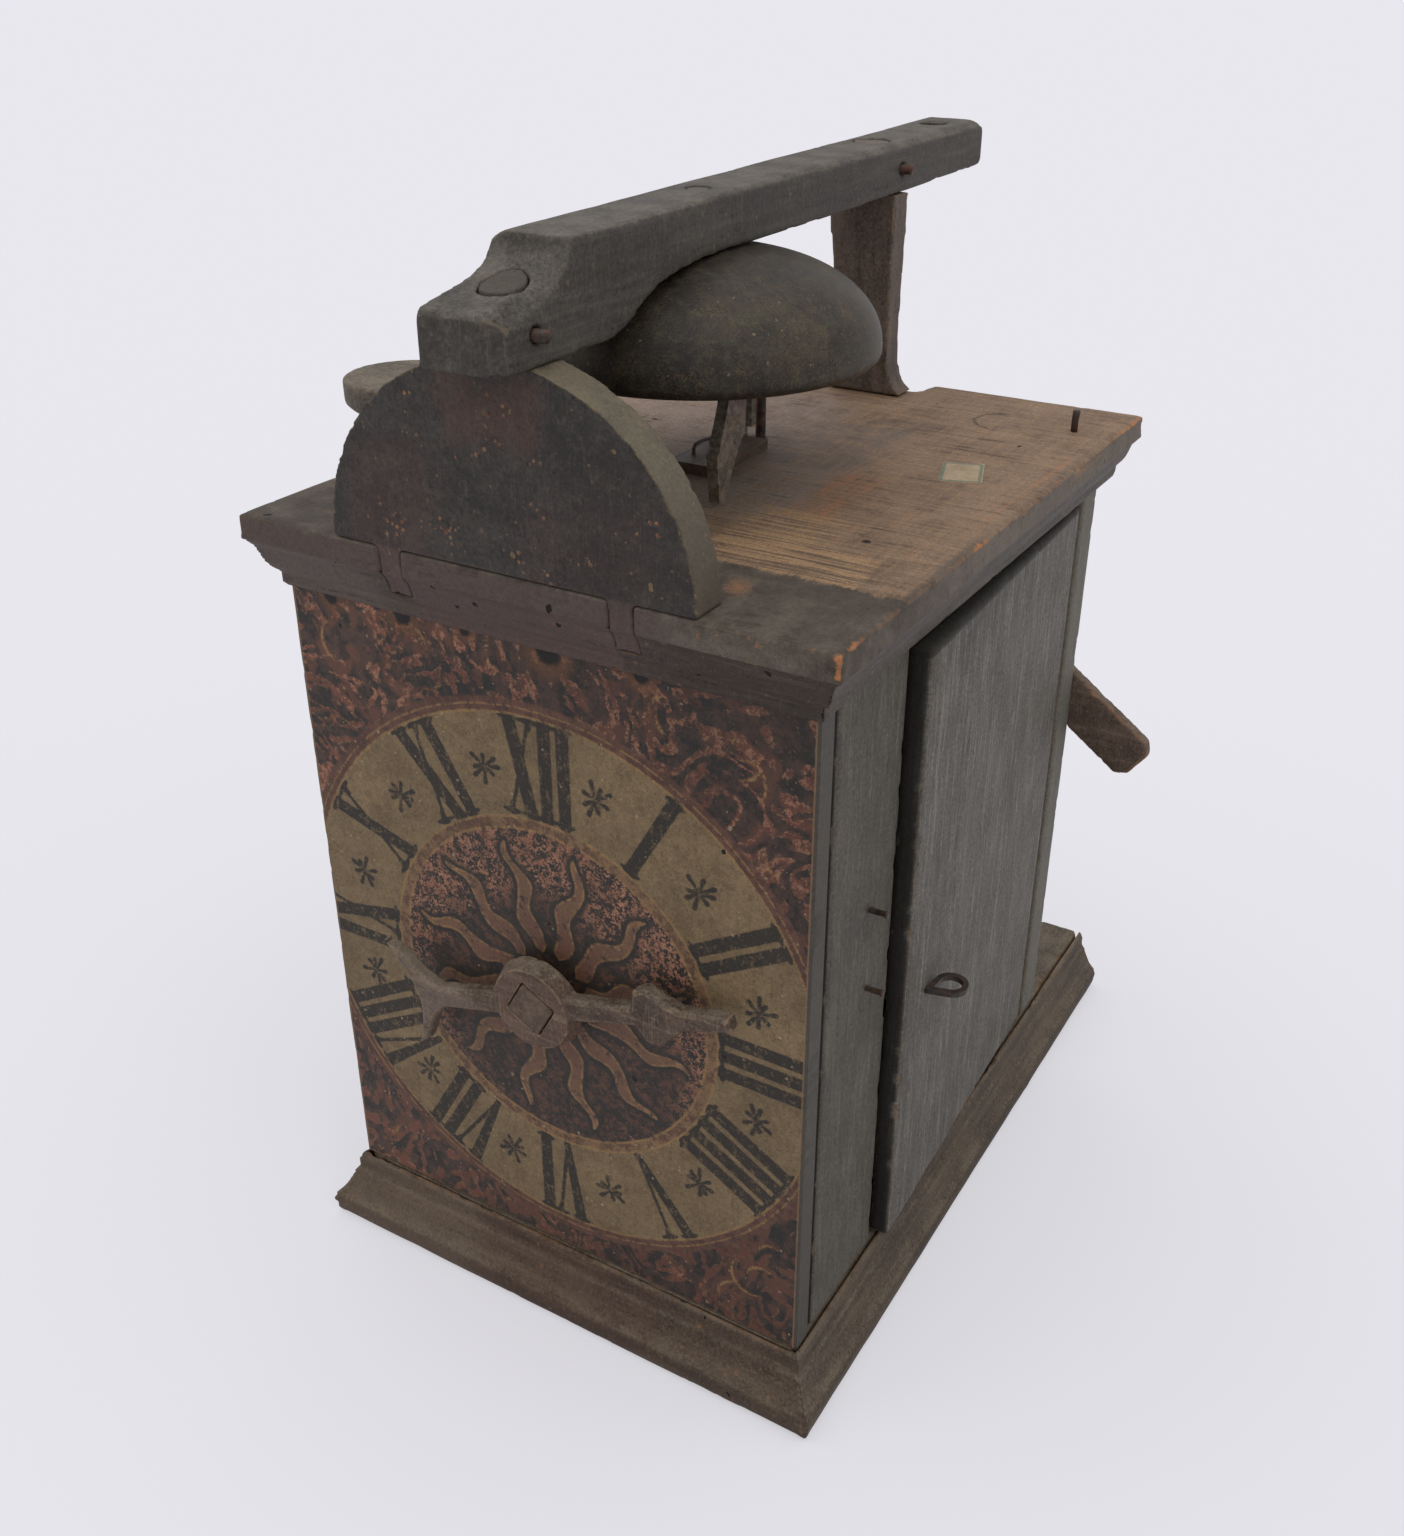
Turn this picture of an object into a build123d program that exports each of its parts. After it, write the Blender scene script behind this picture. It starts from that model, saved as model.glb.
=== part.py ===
from build123d import *
import math
import os

# Wooden one-hand striking clock.  Millimetres, +X to the viewer's right of the dial,
# +Y from the dial to the back, +Z up, origin under the middle of the dial's face.

# Case
CASE_HALF = 115.0
CASE_REAR = 277.0
BASE_TOP = 33.8
BASE_BOARD_BOTTOM = 9.8
BASE_OVERHANG = 75.0
BASE_REAR = CASE_REAR + BASE_OVERHANG
CORNICE_BOTTOM = 321.4
CORNICE_TALL = 20.2
TOP_UNDER = CORNICE_BOTTOM + CORNICE_TALL
TOP_THICK = 10.5
TOP_FACE = TOP_UNDER + TOP_THICK
TOP_OVERHANG = 11.4
TOP_REAR_OVERHANG = 18.5
TOP_REAR = CASE_REAR + TOP_REAR_OVERHANG
TOP_ROUNDING = 1.6
BOARD = 10.0
DIAL_THICK = 13.0
STILE_FRONT_REAR_EDGE = 70.6
STILE_REAR_DEEP = 19.7
STILE_REAR_FRONT_EDGE = CASE_REAR - STILE_REAR_DEEP
STILE_REAR_WIDTH = 22.0
BACK_THICK = 8.0
NOTCH_HALF_REAR = 24.6
NOTCH_HALF_FRONT = 21.2
NOTCH_DEEP = 15.5
NOTCH_FRONT = TOP_REAR - NOTCH_DEEP
PENDULUM_GAP_HALF = 62.0
PENDULUM_GAP_DEEP = 56.0
PENDULUM_GAP_FRONT = BASE_REAR - PENDULUM_GAP_DEEP
ROPE_HOLE_R = 7.0
SEAT = 0.05
JOINT_GAP = 0.3

# Mouldings: distance out from the case face, height
FOOT_INSET = 9.0
BASE_OUTLINE = [
    (-FOOT_INSET, BASE_BOARD_BOTTOM), (-FOOT_INSET, 0.0), (11.4, 0.0), (12.6, 2.6),
    (13.2, 7.8), (12.6, 10.6), (10.4, 12.8), (8.2, 16.2), (6.2, 20.4), (4.6, 24.2),
    (3.1, 25.4), (3.0, BASE_TOP - 3.4), (2.2, BASE_TOP - 1.2), (0.0, BASE_TOP), (0.0, BASE_BOARD_BOTTOM),
]
CORNICE_RISE = [
    (0.0, 0.0), (1.0, 0.4), (2.0, 2.0), (2.1, 6.5), (3.2, 7.2), (4.8, 8.8), (6.2, 11.2),
    (7.2, 14.4), (8.2, 17.2), (9.6, 19.0),
]
CORNICE_OUTLINE = [(out, CORNICE_BOTTOM + rise) for out, rise in CORNICE_RISE]
CORNICE_OUTLINE += [(10.4, TOP_UNDER), (0.0, TOP_UNDER)]
MITRE_REACH = 14.0

# Half-round board over the dial
LUNETTE_X = -1.2
LUNETTE_HALF = 76.6
LUNETTE_RISE = 72.9
LUNETTE_FLAT = 1.4
LUNETTE_FRONT = -11.0
LUNETTE_BACK = 5.6
LEGS = [(-57.2, -47.1), (41.1, 50.9)]
LEG_BOTTOM = CORNICE_OUTLINE[6][1]
LEG_BACK = -1.0
LEG_FACE = [(-out, height) for out, height in CORNICE_OUTLINE if out > 0 and height >= LEG_BOTTOM]

# Beam over the bell
BEAM_HALF = 16.0
BEAM_FRONT = -27.8
BEAM_REAR = CASE_REAR + 76.4
BEAM_SEAT = TOP_FACE + LUNETTE_RISE - LUNETTE_FLAT
BEAM_DEEP = 41.4
BEAM_TOP = BEAM_SEAT + BEAM_DEEP
BEAM_OVER_BELL = 23.8
BELL_SEAT = BEAM_TOP - BEAM_OVER_BELL
BEAM_OVER_POST = 22.4
BEAM_UNDER_REAR = BEAM_TOP - BEAM_OVER_POST
BEAM_DIP = 5.2
BEAM_EDGES_FRONT = {-1: (4.6, 2.6), 1: (0.6, 0.6)}
BEAM_EDGE_REAR = (4.6, 3.4)
BEAM_CORNER = 5.4
NOSE_TALL = 21.4
NOSE_TOP = BEAM_SEAT + NOSE_TALL
BEAM_NOSE = [(BEAM_FRONT, NOSE_TOP - 2.8), (-12.0, NOSE_TOP)]
NOSE_BEVEL = [(BEAM_FRONT, NOSE_TOP - 4.8), (BEAM_FRONT + 2.4, NOSE_TOP - 2.2)]
COVE_TOP = (12.8, BEAM_TOP - BEAM_DIP)
BEAM_COVE = [
    (-12.0, NOSE_TOP), (0.6, NOSE_TOP + 3.0), (7.8, NOSE_TOP + 7.0), (11.4, COVE_TOP[1] - 3.8), COVE_TOP,
]
BEAM_TAIL = [
    (BEAM_REAR - 2.0, BEAM_TOP), (BEAM_REAR, BEAM_TOP - 2.0), (BEAM_REAR, BEAM_UNDER_REAR + 3.4),
    (BEAM_REAR - 3.0, BEAM_UNDER_REAR + 2.0), (CASE_REAR + 23.0, BEAM_UNDER_REAR + 0.8),
    (CASE_REAR - 7.0, BEAM_UNDER_REAR), (CASE_REAR - 24.0, BEAM_UNDER_REAR), (196.0, BELL_SEAT + 0.6),
    (150.0, BELL_SEAT), (105.0, BELL_SEAT), (90.0, BELL_SEAT - 0.8),
]
BEAM_HAUNCH = [
    (90.0, BELL_SEAT - 0.8), (79.0, BELL_SEAT - 1.9), (66.0, BELL_SEAT - 4.4), (56.0, BEAM_SEAT + 9.4),
    (48.5, BEAM_SEAT + 5.4), (41.0, BEAM_SEAT + 2.2), (30.0, BEAM_SEAT),
]
TENON_R = 8.0
TENON_SHORT = 1.9
FRONT_TENON = (0.0, -3.0)
TENON_PROUD = 0.3
REAR_TENON = (0.0, CASE_REAR - 15.0)
WALL_HOLE_R = 6.5
WALL_HOLE_Y = CASE_REAR + 53.0
CROSS_PIN_R = 2.3
CROSS_PINS = [(-8.0, BEAM_SEAT + 10.0), (REAR_TENON[1], BEAM_TOP - 12.6)]

# Post behind the bell: half width at a height, front and rear face at the ends
POST_HEAD_HALF = 16.6
POST_FLARE = [
    (12.5, TOP_FACE + 26.0), (12.9, TOP_FACE + 13.9), (15.0, TOP_FACE + 5.9), (21.4, TOP_FACE),
]
POST_FOOT = (CASE_REAR - 12.0, CASE_REAR + 1.6)
POST_HEAD = (CASE_REAR - 23.0, CASE_REAR - 8.0)

# Bell
BELL_Y = 115.0
BELL_TALL = 40.2
BELL_RIM_Z = BELL_SEAT - BELL_TALL
BELL_RIM_R = 68.6
BELL_R = 70.8
BELL_BELLY_Z = BELL_RIM_Z + 3.0
BELL_WALL = 3.0
BELL_FLAT_R = 8.0
BELL_STEPS = 9
BOLT_R = 4.0
BOLT_SHORT = 4.2
BOLT_TOP = BEAM_TOP - BOLT_SHORT
BOLT_NUT_R = 7.6
BOLT_NUT = 6.0
BOLT_TAIL = 4.0

# Side doors
DOOR_AXIS_X = CASE_HALF - BOARD / 2
DOOR_AXIS_Y = CASE_REAR - 25.0
DOOR_FRONT_GAP = 3.2
DOOR_REACH = DOOR_AXIS_Y - STILE_FRONT_REAR_EDGE - DOOR_FRONT_GAP
DOOR_BOTTOM = BASE_TOP + 2.2
DOOR_TOP = CORNICE_BOTTOM - 2.0
DOOR_AJAR = 2.2
DOOR_PIN_R = 1.6
DOOR_CHAMFER = 0.8
PIN_PLAY = 0.06
PIN_IN_CASE = 8.0
RING_FROM_EDGE = 23.5
RING_REACH = DOOR_REACH - RING_FROM_EDGE
RING_Z = 156.5
RING_R = 7.2
RING_NECK = 10.3
RING_SWING = 48.0
RING_WIRE_R = 1.2
RING_OUT = 1.3
RING_SHANK_DEPTH = 7.0
RING_CENTRE_OUT = BOARD / 2 + RING_OUT + RING_NECK * math.cos(math.radians(RING_SWING))
RING_CENTRE_REACH = RING_REACH - RING_NECK * math.sin(math.radians(RING_SWING))

# Dial and hand
DIAL_Z = 171.4
HAND_FRONT = -14.0
HAND_BACK = -6.0
HAND_ANGLE = 16.2
HUB_R = 20.5
ARBOR_SQUARE = 17.0
ARBOR_R = 10.0
ARBOR_PLAY = 0.6
HAND_UPPER = [
    (-73.0, 25.0), (-66.0, 22.0), (-57.0, 10.0), (-50.0, 5.0), (-20.0, 5.2), (20.0, 5.2),
    (49.0, 4.2), (52.0, 11.4), (58.0, 13.0), (64.0, 9.0), (71.0, 4.6), (93.0, 3.2),
]
HAND_HOLLOW = [(-73.0, -25.0), (-66.0, -12.0), (-63.4, 0.0), (-66.0, 12.0), (-73.0, 25.0)]
HAND_RELIEF = 1.4
HAND_CHAMFER = 1.5
HUB_TAPER = 18

# Movement
UPRIGHT_HALF = 40.0
UPRIGHT_THICK = 12.0
FRONT_UPRIGHT = (26.0, 26.0 + UPRIGHT_THICK)
MIDDLE_UPRIGHT = (118.0, 118.0 + UPRIGHT_THICK)
BLIND_HOLE = 6.0
BLIND_PIVOT = 5.5
REAR_UPRIGHT = (216.0, 216.0 + UPRIGHT_THICK)
PIVOT_PLAY = 0.08
BIG_PIVOT_R = 4.0
PIVOT_R = 2.4
ARBOR_STICK_R = 5.0
THIN_STICK_R = 3.4
STICK_SIDES = 8
TOOTH_ADDENDUM = 0.9
TOOTH_DEDENDUM = 1.4
TOOTH_TIP = 0.24
TOOTH_ROOT = 0.5
HOUR_TEETH = 36
HOUR_MODULE = 2.0
GREAT_TEETH = 60
GREAT_MODULE = 1.8
SECOND_TEETH = 60
SECOND_MODULE = 1.4
FLY_TEETH = 48
FLY_MODULE = 1.6
COUNT_TEETH = 39
COUNT_MODULE = 2.1
PINS = 6
COUNT_PINS = 4
STROKES_IN_TWELVE_HOURS = 78
ESCAPE_TEETH = 36
ESCAPE_R = 30.0
ESCAPE_DEPTH = 6.0
SECOND_BEARING = 70.0
STRIKE_BEARING = 60.0
HOUR_WHEEL_Y = (15.5, 21.5)
GREAT_WHEEL_Y = (60.0, 66.0)
SECOND_WHEEL_Y = (90.0, 95.0)
ESCAPE_WHEEL_Y = (103.0, 107.0)
PULLEY_Y = (70.0, 84.0)
STRIKE_WHEEL_Y = (146.0, 152.0)
STRIKE_PULLEY_Y = (168.0, 182.0)
STRIKE_SECOND_Y = (192.0, 197.0)
COUNT_WHEEL_Y = (233.0, 238.0)
PULLEY_R = 24.0
PULLEY_GROOVE = 7.0
LIFT_PINS = 8
LIFT_PIN_R = 2.0
LIFT_CIRCLE = 45.0
LIFT_PIN_END = 161.0
ANCHOR_RISE = 42.0
ANCHOR_OUTLINE = [
    (-6, 7), (6, 7), (31, -7), (34.6, -30), (31.2, -31), (26.0, -11), (6, -4),
    (-6, -4), (-26.0, -11), (-31.2, -31), (-34.6, -30), (-31, -7),
]
CRUTCH_THICK = 3.0
CRUTCH_WIDTH = 5.0
CRUTCH_LENGTH = 92.0
CRUTCH_LOOP_R = 5.0
CRUTCH_LOOP_WALL = 3.0
VANE_R = 22.0
VANE_Y = (140.0, 180.0)
VANE_THICK = 2.4
COUNT_RIM_R = 36.0
COUNT_RIM_WALL = 5.0
COUNT_RIM_DEEP = 5.0
COUNT_NOTCH_DEEP = 4.0
COUNT_NOTCH_WIDE = 2.4
STUD_HEAD_R = 4.6
STUD_HEAD = 2.0

# Hammer and the pieces on the top board
HAMMER_X = -6.0
HAMMER_Y = 177.0
HAMMER_ROD_R = 2.2
HAMMER_FOOT = 162.0
HAMMER_ARM_THICK = 5.8
ARM_BELOW_RIM = 3.6
HAMMER_ARM_TOP = BELL_RIM_Z - ARM_BELOW_RIM
HAMMER_ARM_Z = (HAMMER_ARM_TOP - HAMMER_ARM_THICK, HAMMER_ARM_TOP)
HAMMER_END = (25.2, 92.0)
HAMMER_ARM_WIDTH = 9.0
HAMMER_PLATE = 4.6
HAMMER_HANG = TOP_FACE + 2.1
HAMMER_BOSS_R = 6.0
HAMMER_HEAD = (16.0, 12.0)
HAMMER_HEAD_TALL = 8.0
HAMMER_NOSE = [
    (91.4, HAMMER_ARM_TOP), (90.0, HAMMER_ARM_TOP - 9.4), (87.0, HAMMER_ARM_TOP - 16.4),
    (84.6, HAMMER_ARM_TOP - 23.4),
]
HAMMER_EDGE = [
    (82.8, HAMMER_ARM_TOP - 24.8), (85.0, HAMMER_HANG), (89.4, HAMMER_HANG), (94.0, HAMMER_HANG + 9.8),
    (98.6, HAMMER_ARM_TOP - 25.4), (103.6, HAMMER_ARM_TOP - 20.0), (105.0, HAMMER_ARM_TOP),
]
TAIL_Z = (171.0, 178.0)
TAIL_CLEAR = 0.5
TAIL_REACH = HAMMER_Y - LIFT_PIN_END - TAIL_CLEAR
TAIL_WIDE = 5.0
COLLAR_R = 5.0
COLLAR = 4.0
BRACKET_Z = (196.0, 204.0)
BRACKET_X = (-14.0, 2.0)
BRACKET_END = 184.0
BLOCK_X = (-14.6, 6.0)
BLOCK_Y = (116.0, 161.5)
BLOCK_THICK = 4.4
CHECK_POST_Y = (166.0, 169.6)
CHECK_POST_OUTLINE = [
    (-12.0, TOP_FACE), (-8.2, TOP_FACE), (-8.2, TOP_FACE + 6.9), (-4.4, TOP_FACE + 6.9),
    (-4.4, TOP_FACE + 31.9), (-11.0, TOP_FACE + 31.9), (-11.0, TOP_FACE + 9.9), (-12.0, TOP_FACE + 5.9),
]

# Paddle behind the half-round board
PADDLE_PEG = (-50.0, 42.6)
PADDLE_RISE = 33.9
PADDLE_THICK = 12.0
PADDLE_Z = (TOP_FACE + PADDLE_RISE, TOP_FACE + PADDLE_RISE + PADDLE_THICK)
PADDLE_HALF = 24.6
PADDLE_END = -83.0
PADDLE_CHAMFER = 3.0
PEG_R = 6.0
PEG_PIVOT_R = 4.0

# Turn bar on the back
TURN_PIVOT = (CASE_HALF - 11.4, 221.0)
TURN_SLOPE = -36.0
TURN_ARM = 58.6
TURN_HALF_WIDTH = 12.4
TURN_CORNER = 5.0
TURN_THICK = 7.0
TURN_Y = (CASE_REAR + JOINT_GAP, CASE_REAR + JOINT_GAP + TURN_THICK)
TURN_PEG_R = 4.5
TURN_HEAD_R = 7.5
TURN_HEAD = 3.7
CRUTCH_Y = (TURN_Y[1] + 1.2, TURN_Y[1] + 1.2 + CRUTCH_THICK)


def at_y(y):
    """Plane facing the dial at depth y: sketch x is X and sketch y is Z."""
    return Plane.XZ.offset(-y)


def polar(centre, radius, degrees):
    """Point at a bearing from a centre, both in X and Z."""
    turn = math.radians(degrees)
    return (centre[0] + radius * math.cos(turn), centre[1] + radius * math.sin(turn))


def pair_distance(teeth, module, pins):
    """Distance between the arbors of a wheel and its lantern pinion."""
    return module * (teeth + pins) / 2


def wheel_outline(teeth, module, gap_at):
    """Tooth corners of a wheel whose tooth gap is centred on the bearing gap_at."""
    radius = teeth * module / 2
    pitch = 360 / teeth
    root = radius - TOOTH_DEDENDUM * module
    tip = radius + TOOTH_ADDENDUM * module
    corners = []
    for index in range(teeth):
        middle = gap_at + (index + 0.5) * pitch
        for reach, side in ((root, -TOOTH_ROOT), (tip, -TOOTH_TIP), (tip, TOOTH_TIP), (root, TOOTH_ROOT)):
            corners.append(polar((0, 0), reach, middle + side * pitch / 2))
    return corners


def wheel(centre, span, teeth, module, gap_at, bore):
    """Toothed wooden wheel with a round hole for its arbor."""
    with BuildPart() as made:
        with BuildSketch(at_y(span[1])):
            with Locations(centre):
                Polygon(*wheel_outline(teeth, module, gap_at), align=None)
                Circle(bore + SEAT, mode=Mode.SUBTRACT)
        extrude(amount=span[1] - span[0])
    return made


def rod(centre, y_from, y_to, radius):
    """Round rod along Y."""
    with BuildPart() as made:
        with BuildSketch(at_y(y_to)):
            with Locations(centre):
                Circle(radius)
        extrude(amount=y_to - y_from)
    return made


def stick(centre, y_from, y_to, radius):
    """Whittled rod along Y with flat sides."""
    with BuildPart() as made:
        with BuildSketch(at_y(y_to)):
            with Locations(centre):
                RegularPolygon(radius, STICK_SIDES)
        extrude(amount=y_to - y_from)
    return made


def block(x_span, y_span, z_span):
    """Square-edged board between three pairs of limits."""
    with BuildPart() as made:
        with BuildSketch(Plane.XY.offset(z_span[0])):
            with Locations(((x_span[0] + x_span[1]) / 2, (y_span[0] + y_span[1]) / 2)):
                Rectangle(x_span[1] - x_span[0], y_span[1] - y_span[0])
        extrude(amount=z_span[1] - z_span[0])
    return made


def lantern(centre, wheel_span, module, pins, pin_at, gap=1.0, cheek=2.0):
    """Lantern pinion: two cheeks, a core and whittled pins across a wheel's plane."""
    radius = module * pins / 2
    pin_r = 0.2 * math.pi * module
    cheek_r = radius + pin_r + 1.2
    front = wheel_span[0] - gap
    rear = wheel_span[1] + gap
    with BuildPart() as made:
        add(rod(centre, front - cheek, front, cheek_r).part)
        add(rod(centre, rear, rear + cheek, cheek_r).part)
        add(stick(centre, front - cheek / 2, rear + cheek / 2, radius * 0.4).part)
        for index in range(pins):
            spot = polar(centre, radius, pin_at + index * 360 / pins)
            add(stick(spot, front - cheek / 2, rear + cheek / 2, pin_r).part)
    return made


def pulley(centre, span):
    """Rope pulley with a V groove."""
    width = span[1] - span[0]
    middle = (span[0] + span[1]) / 2
    with BuildPart() as made:
        with BuildSketch(Plane.XY.offset(centre[1])):
            with BuildLine():
                Polyline(
                    (centre[0], span[0]), (centre[0] + PULLEY_R, span[0]),
                    (centre[0] + PULLEY_R, span[0] + width / 5),
                    (centre[0] + PULLEY_R - PULLEY_GROOVE, middle),
                    (centre[0] + PULLEY_R, span[1] - width / 5),
                    (centre[0] + PULLEY_R, span[1]), (centre[0], span[1]), close=True,
                )
            make_face()
        revolve(axis=Axis((centre[0], 0, centre[1]), (0, 1, 0)))
    return made


def side_outline(outline, side):
    """Moulding outline on a plane facing the dial, for the right (1) or left (-1) side."""
    return [(side * (CASE_HALF + out), height) for out, height in outline]


def moulding_front(outline):
    """Front moulding with both ends mitred."""
    with BuildPart() as made:
        with BuildSketch(Plane.YZ):
            Polygon(*[(-out, height) for out, height in outline], align=None)
        extrude(amount=CASE_HALF + MITRE_REACH, both=True)
        with BuildSketch(Plane.XY):
            Polygon(
                (FOOT_INSET - CASE_HALF, FOOT_INSET), (CASE_HALF - FOOT_INSET, FOOT_INSET),
                (CASE_HALF + MITRE_REACH, -MITRE_REACH), (-CASE_HALF - MITRE_REACH, -MITRE_REACH),
                align=None,
            )
        extrude(amount=TOP_FACE, mode=Mode.INTERSECT)
    return made


def moulding_side(outline, side, rear):
    """Side moulding, mitred at the front and square at the rear."""
    near = side * (CASE_HALF - FOOT_INSET)
    far = side * (CASE_HALF + MITRE_REACH)
    with BuildPart() as made:
        with BuildSketch(at_y(rear)):
            Polygon(*side_outline(outline, side), align=None)
        extrude(amount=rear + MITRE_REACH)
        with BuildSketch(Plane.XY):
            Polygon((near, FOOT_INSET), (far, -MITRE_REACH), (far, rear), (near, rear), align=None)
        extrude(amount=TOP_FACE, mode=Mode.INTERSECT)
    return made


def bell_side(rim_r, widest_r, crown_z):
    """One side of the bell's wall, from the rim to the flat of the crown."""
    rise = crown_z - BELL_BELLY_Z
    points = [(rim_r, BELL_RIM_Z), (widest_r, BELL_BELLY_Z)]
    for step in range(1, BELL_STEPS):
        height = rise * (1 - (1 - step / BELL_STEPS) ** 1.7)
        reach = widest_r * (1 - (height / rise) ** 2.2) ** (1 / 2.3)
        points.append((reach, BELL_BELLY_Z + height))
    points.append((BELL_FLAT_R, crown_z))
    Polyline(*points)


def upright(span, holes):
    """Movement upright between base and top with a bearing hole for each arbor."""
    with BuildPart() as made:
        add(block((-UPRIGHT_HALF, UPRIGHT_HALF), span, (BASE_TOP, TOP_UNDER)).part)
        with BuildSketch(at_y(span[1])):
            for centre, radius in holes:
                with Locations(centre):
                    Circle(radius + PIVOT_PLAY)
        extrude(amount=span[1] - span[0], mode=Mode.SUBTRACT)
    return made


def escape_outline():
    """Saw-toothed rim of the escape wheel."""
    corners = []
    pitch = 360 / ESCAPE_TEETH
    for index in range(ESCAPE_TEETH):
        corners.append(polar((0, 0), ESCAPE_R - ESCAPE_DEPTH, index * pitch))
        corners.append(polar((0, 0), ESCAPE_R, (index + 0.55) * pitch))
        corners.append(polar((0, 0), ESCAPE_R, (index + 0.7) * pitch))
    return corners


HOUR = (0.0, DIAL_Z)
GREAT = (0.0, DIAL_Z - pair_distance(HOUR_TEETH, HOUR_MODULE, PINS))
SECOND = polar(GREAT, pair_distance(GREAT_TEETH, GREAT_MODULE, PINS), SECOND_BEARING)
ESCAPE_GAP = pair_distance(SECOND_TEETH, SECOND_MODULE, PINS)
ESCAPE_BEARING = math.degrees(math.acos(-SECOND[0] / ESCAPE_GAP))
ESCAPE = polar(SECOND, ESCAPE_GAP, ESCAPE_BEARING)
ANCHOR = (ESCAPE[0], ESCAPE[1] + ANCHOR_RISE)
STRIKE_SECOND = polar(GREAT, pair_distance(GREAT_TEETH, GREAT_MODULE, PINS), STRIKE_BEARING)
FLY = (STRIKE_SECOND[0], STRIKE_SECOND[1] + pair_distance(FLY_TEETH, FLY_MODULE, PINS))
COUNT = (GREAT[0], GREAT[1] - pair_distance(COUNT_TEETH, COUNT_MODULE, COUNT_PINS))

pieces = {}

# Base, with a gap at the rear for the pendulum and holes for four ropes
with BuildPart() as base_board:
    with BuildSketch(Plane.XY.offset(BASE_BOARD_BOTTOM)):
        with Locations((0, BASE_REAR / 2)):
            Rectangle(2 * CASE_HALF, BASE_REAR)
        with Locations((0, (PENDULUM_GAP_FRONT + BASE_REAR) / 2)):
            Rectangle(2 * PENDULUM_GAP_HALF, BASE_REAR - PENDULUM_GAP_FRONT, mode=Mode.SUBTRACT)
        rope_spots = []
        for span in (PULLEY_Y, STRIKE_PULLEY_Y):
            for side in (-1, 1):
                rope_spots.append((side * (PULLEY_R - PULLEY_GROOVE / 2), (span[0] + span[1]) / 2))
        with Locations(*rope_spots):
            Circle(ROPE_HOLE_R, mode=Mode.SUBTRACT)
    extrude(amount=BASE_TOP - BASE_BOARD_BOTTOM)
    with BuildSketch(Plane.XY.offset(BASE_TOP)):
        with Locations((-DOOR_AXIS_X, DOOR_AXIS_Y), (DOOR_AXIS_X, DOOR_AXIS_Y)):
            Circle(DOOR_PIN_R + PIN_PLAY)
    extrude(amount=-PIN_IN_CASE - JOINT_GAP, mode=Mode.SUBTRACT)
pieces["base_board"] = base_board
pieces["base_moulding_front"] = moulding_front(BASE_OUTLINE)
pieces["base_moulding_left"] = moulding_side(BASE_OUTLINE, -1, BASE_REAR)
pieces["base_moulding_right"] = moulding_side(BASE_OUTLINE, 1, BASE_REAR)

# Top board with its rear notch, front slots for the two legs and the hammer rod's hole
with BuildPart() as top_board:
    with BuildSketch(Plane.XY.offset(TOP_UNDER)):
        with Locations((0, (TOP_REAR - TOP_OVERHANG) / 2)):
            Rectangle(2 * (CASE_HALF + TOP_OVERHANG), TOP_REAR + TOP_OVERHANG)
    extrude(amount=TOP_FACE - TOP_UNDER)
    fillet(top_board.faces().sort_by(Axis.Z)[-1].edges(), TOP_ROUNDING)
    with BuildSketch(Plane.XY.offset(TOP_UNDER)):
        Polygon(
            (-NOTCH_HALF_REAR, TOP_REAR + 1), (-NOTCH_HALF_FRONT, NOTCH_FRONT),
            (NOTCH_HALF_FRONT, NOTCH_FRONT), (NOTCH_HALF_REAR, TOP_REAR + 1), align=None,
        )
        for left, right in LEGS:
            with Locations(((left + right) / 2, (LEG_BACK - TOP_OVERHANG - 1) / 2)):
                Rectangle(right - left + 2 * SEAT, LEG_BACK + TOP_OVERHANG + 1 + 2 * SEAT)
        with Locations((HAMMER_X, HAMMER_Y)):
            Circle(HAMMER_ROD_R + PIVOT_PLAY)
    extrude(amount=TOP_FACE - TOP_UNDER, mode=Mode.SUBTRACT)
pieces["top_board"] = top_board

# Cornice, cut at the front where the legs of the half-round board are let in
with BuildPart() as cornice_front:
    add(moulding_front(CORNICE_OUTLINE).part)
    with BuildSketch(Plane.XY.offset(LEG_BOTTOM)):
        for left, right in LEGS:
            with Locations(((left + right) / 2, (LEG_BACK - MITRE_REACH) / 2)):
                Rectangle(right - left + 2 * SEAT, MITRE_REACH + LEG_BACK + 2 * SEAT)
    extrude(amount=TOP_FACE - LEG_BOTTOM, mode=Mode.SUBTRACT)
pieces["cornice_front"] = cornice_front
pieces["cornice_left"] = moulding_side(CORNICE_OUTLINE, -1, TOP_REAR)
pieces["cornice_right"] = moulding_side(CORNICE_OUTLINE, 1, TOP_REAR)

# Dial board
with BuildPart() as dial_board:
    with BuildSketch(at_y(DIAL_THICK)):
        with Locations((0, (BASE_TOP + TOP_UNDER) / 2)):
            Rectangle(2 * CASE_HALF, TOP_UNDER - BASE_TOP)
        with Locations((0, DIAL_Z)):
            Circle(ARBOR_R + ARBOR_PLAY, mode=Mode.SUBTRACT)
    extrude(amount=DIAL_THICK)
pieces["dial_board"] = dial_board

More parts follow.
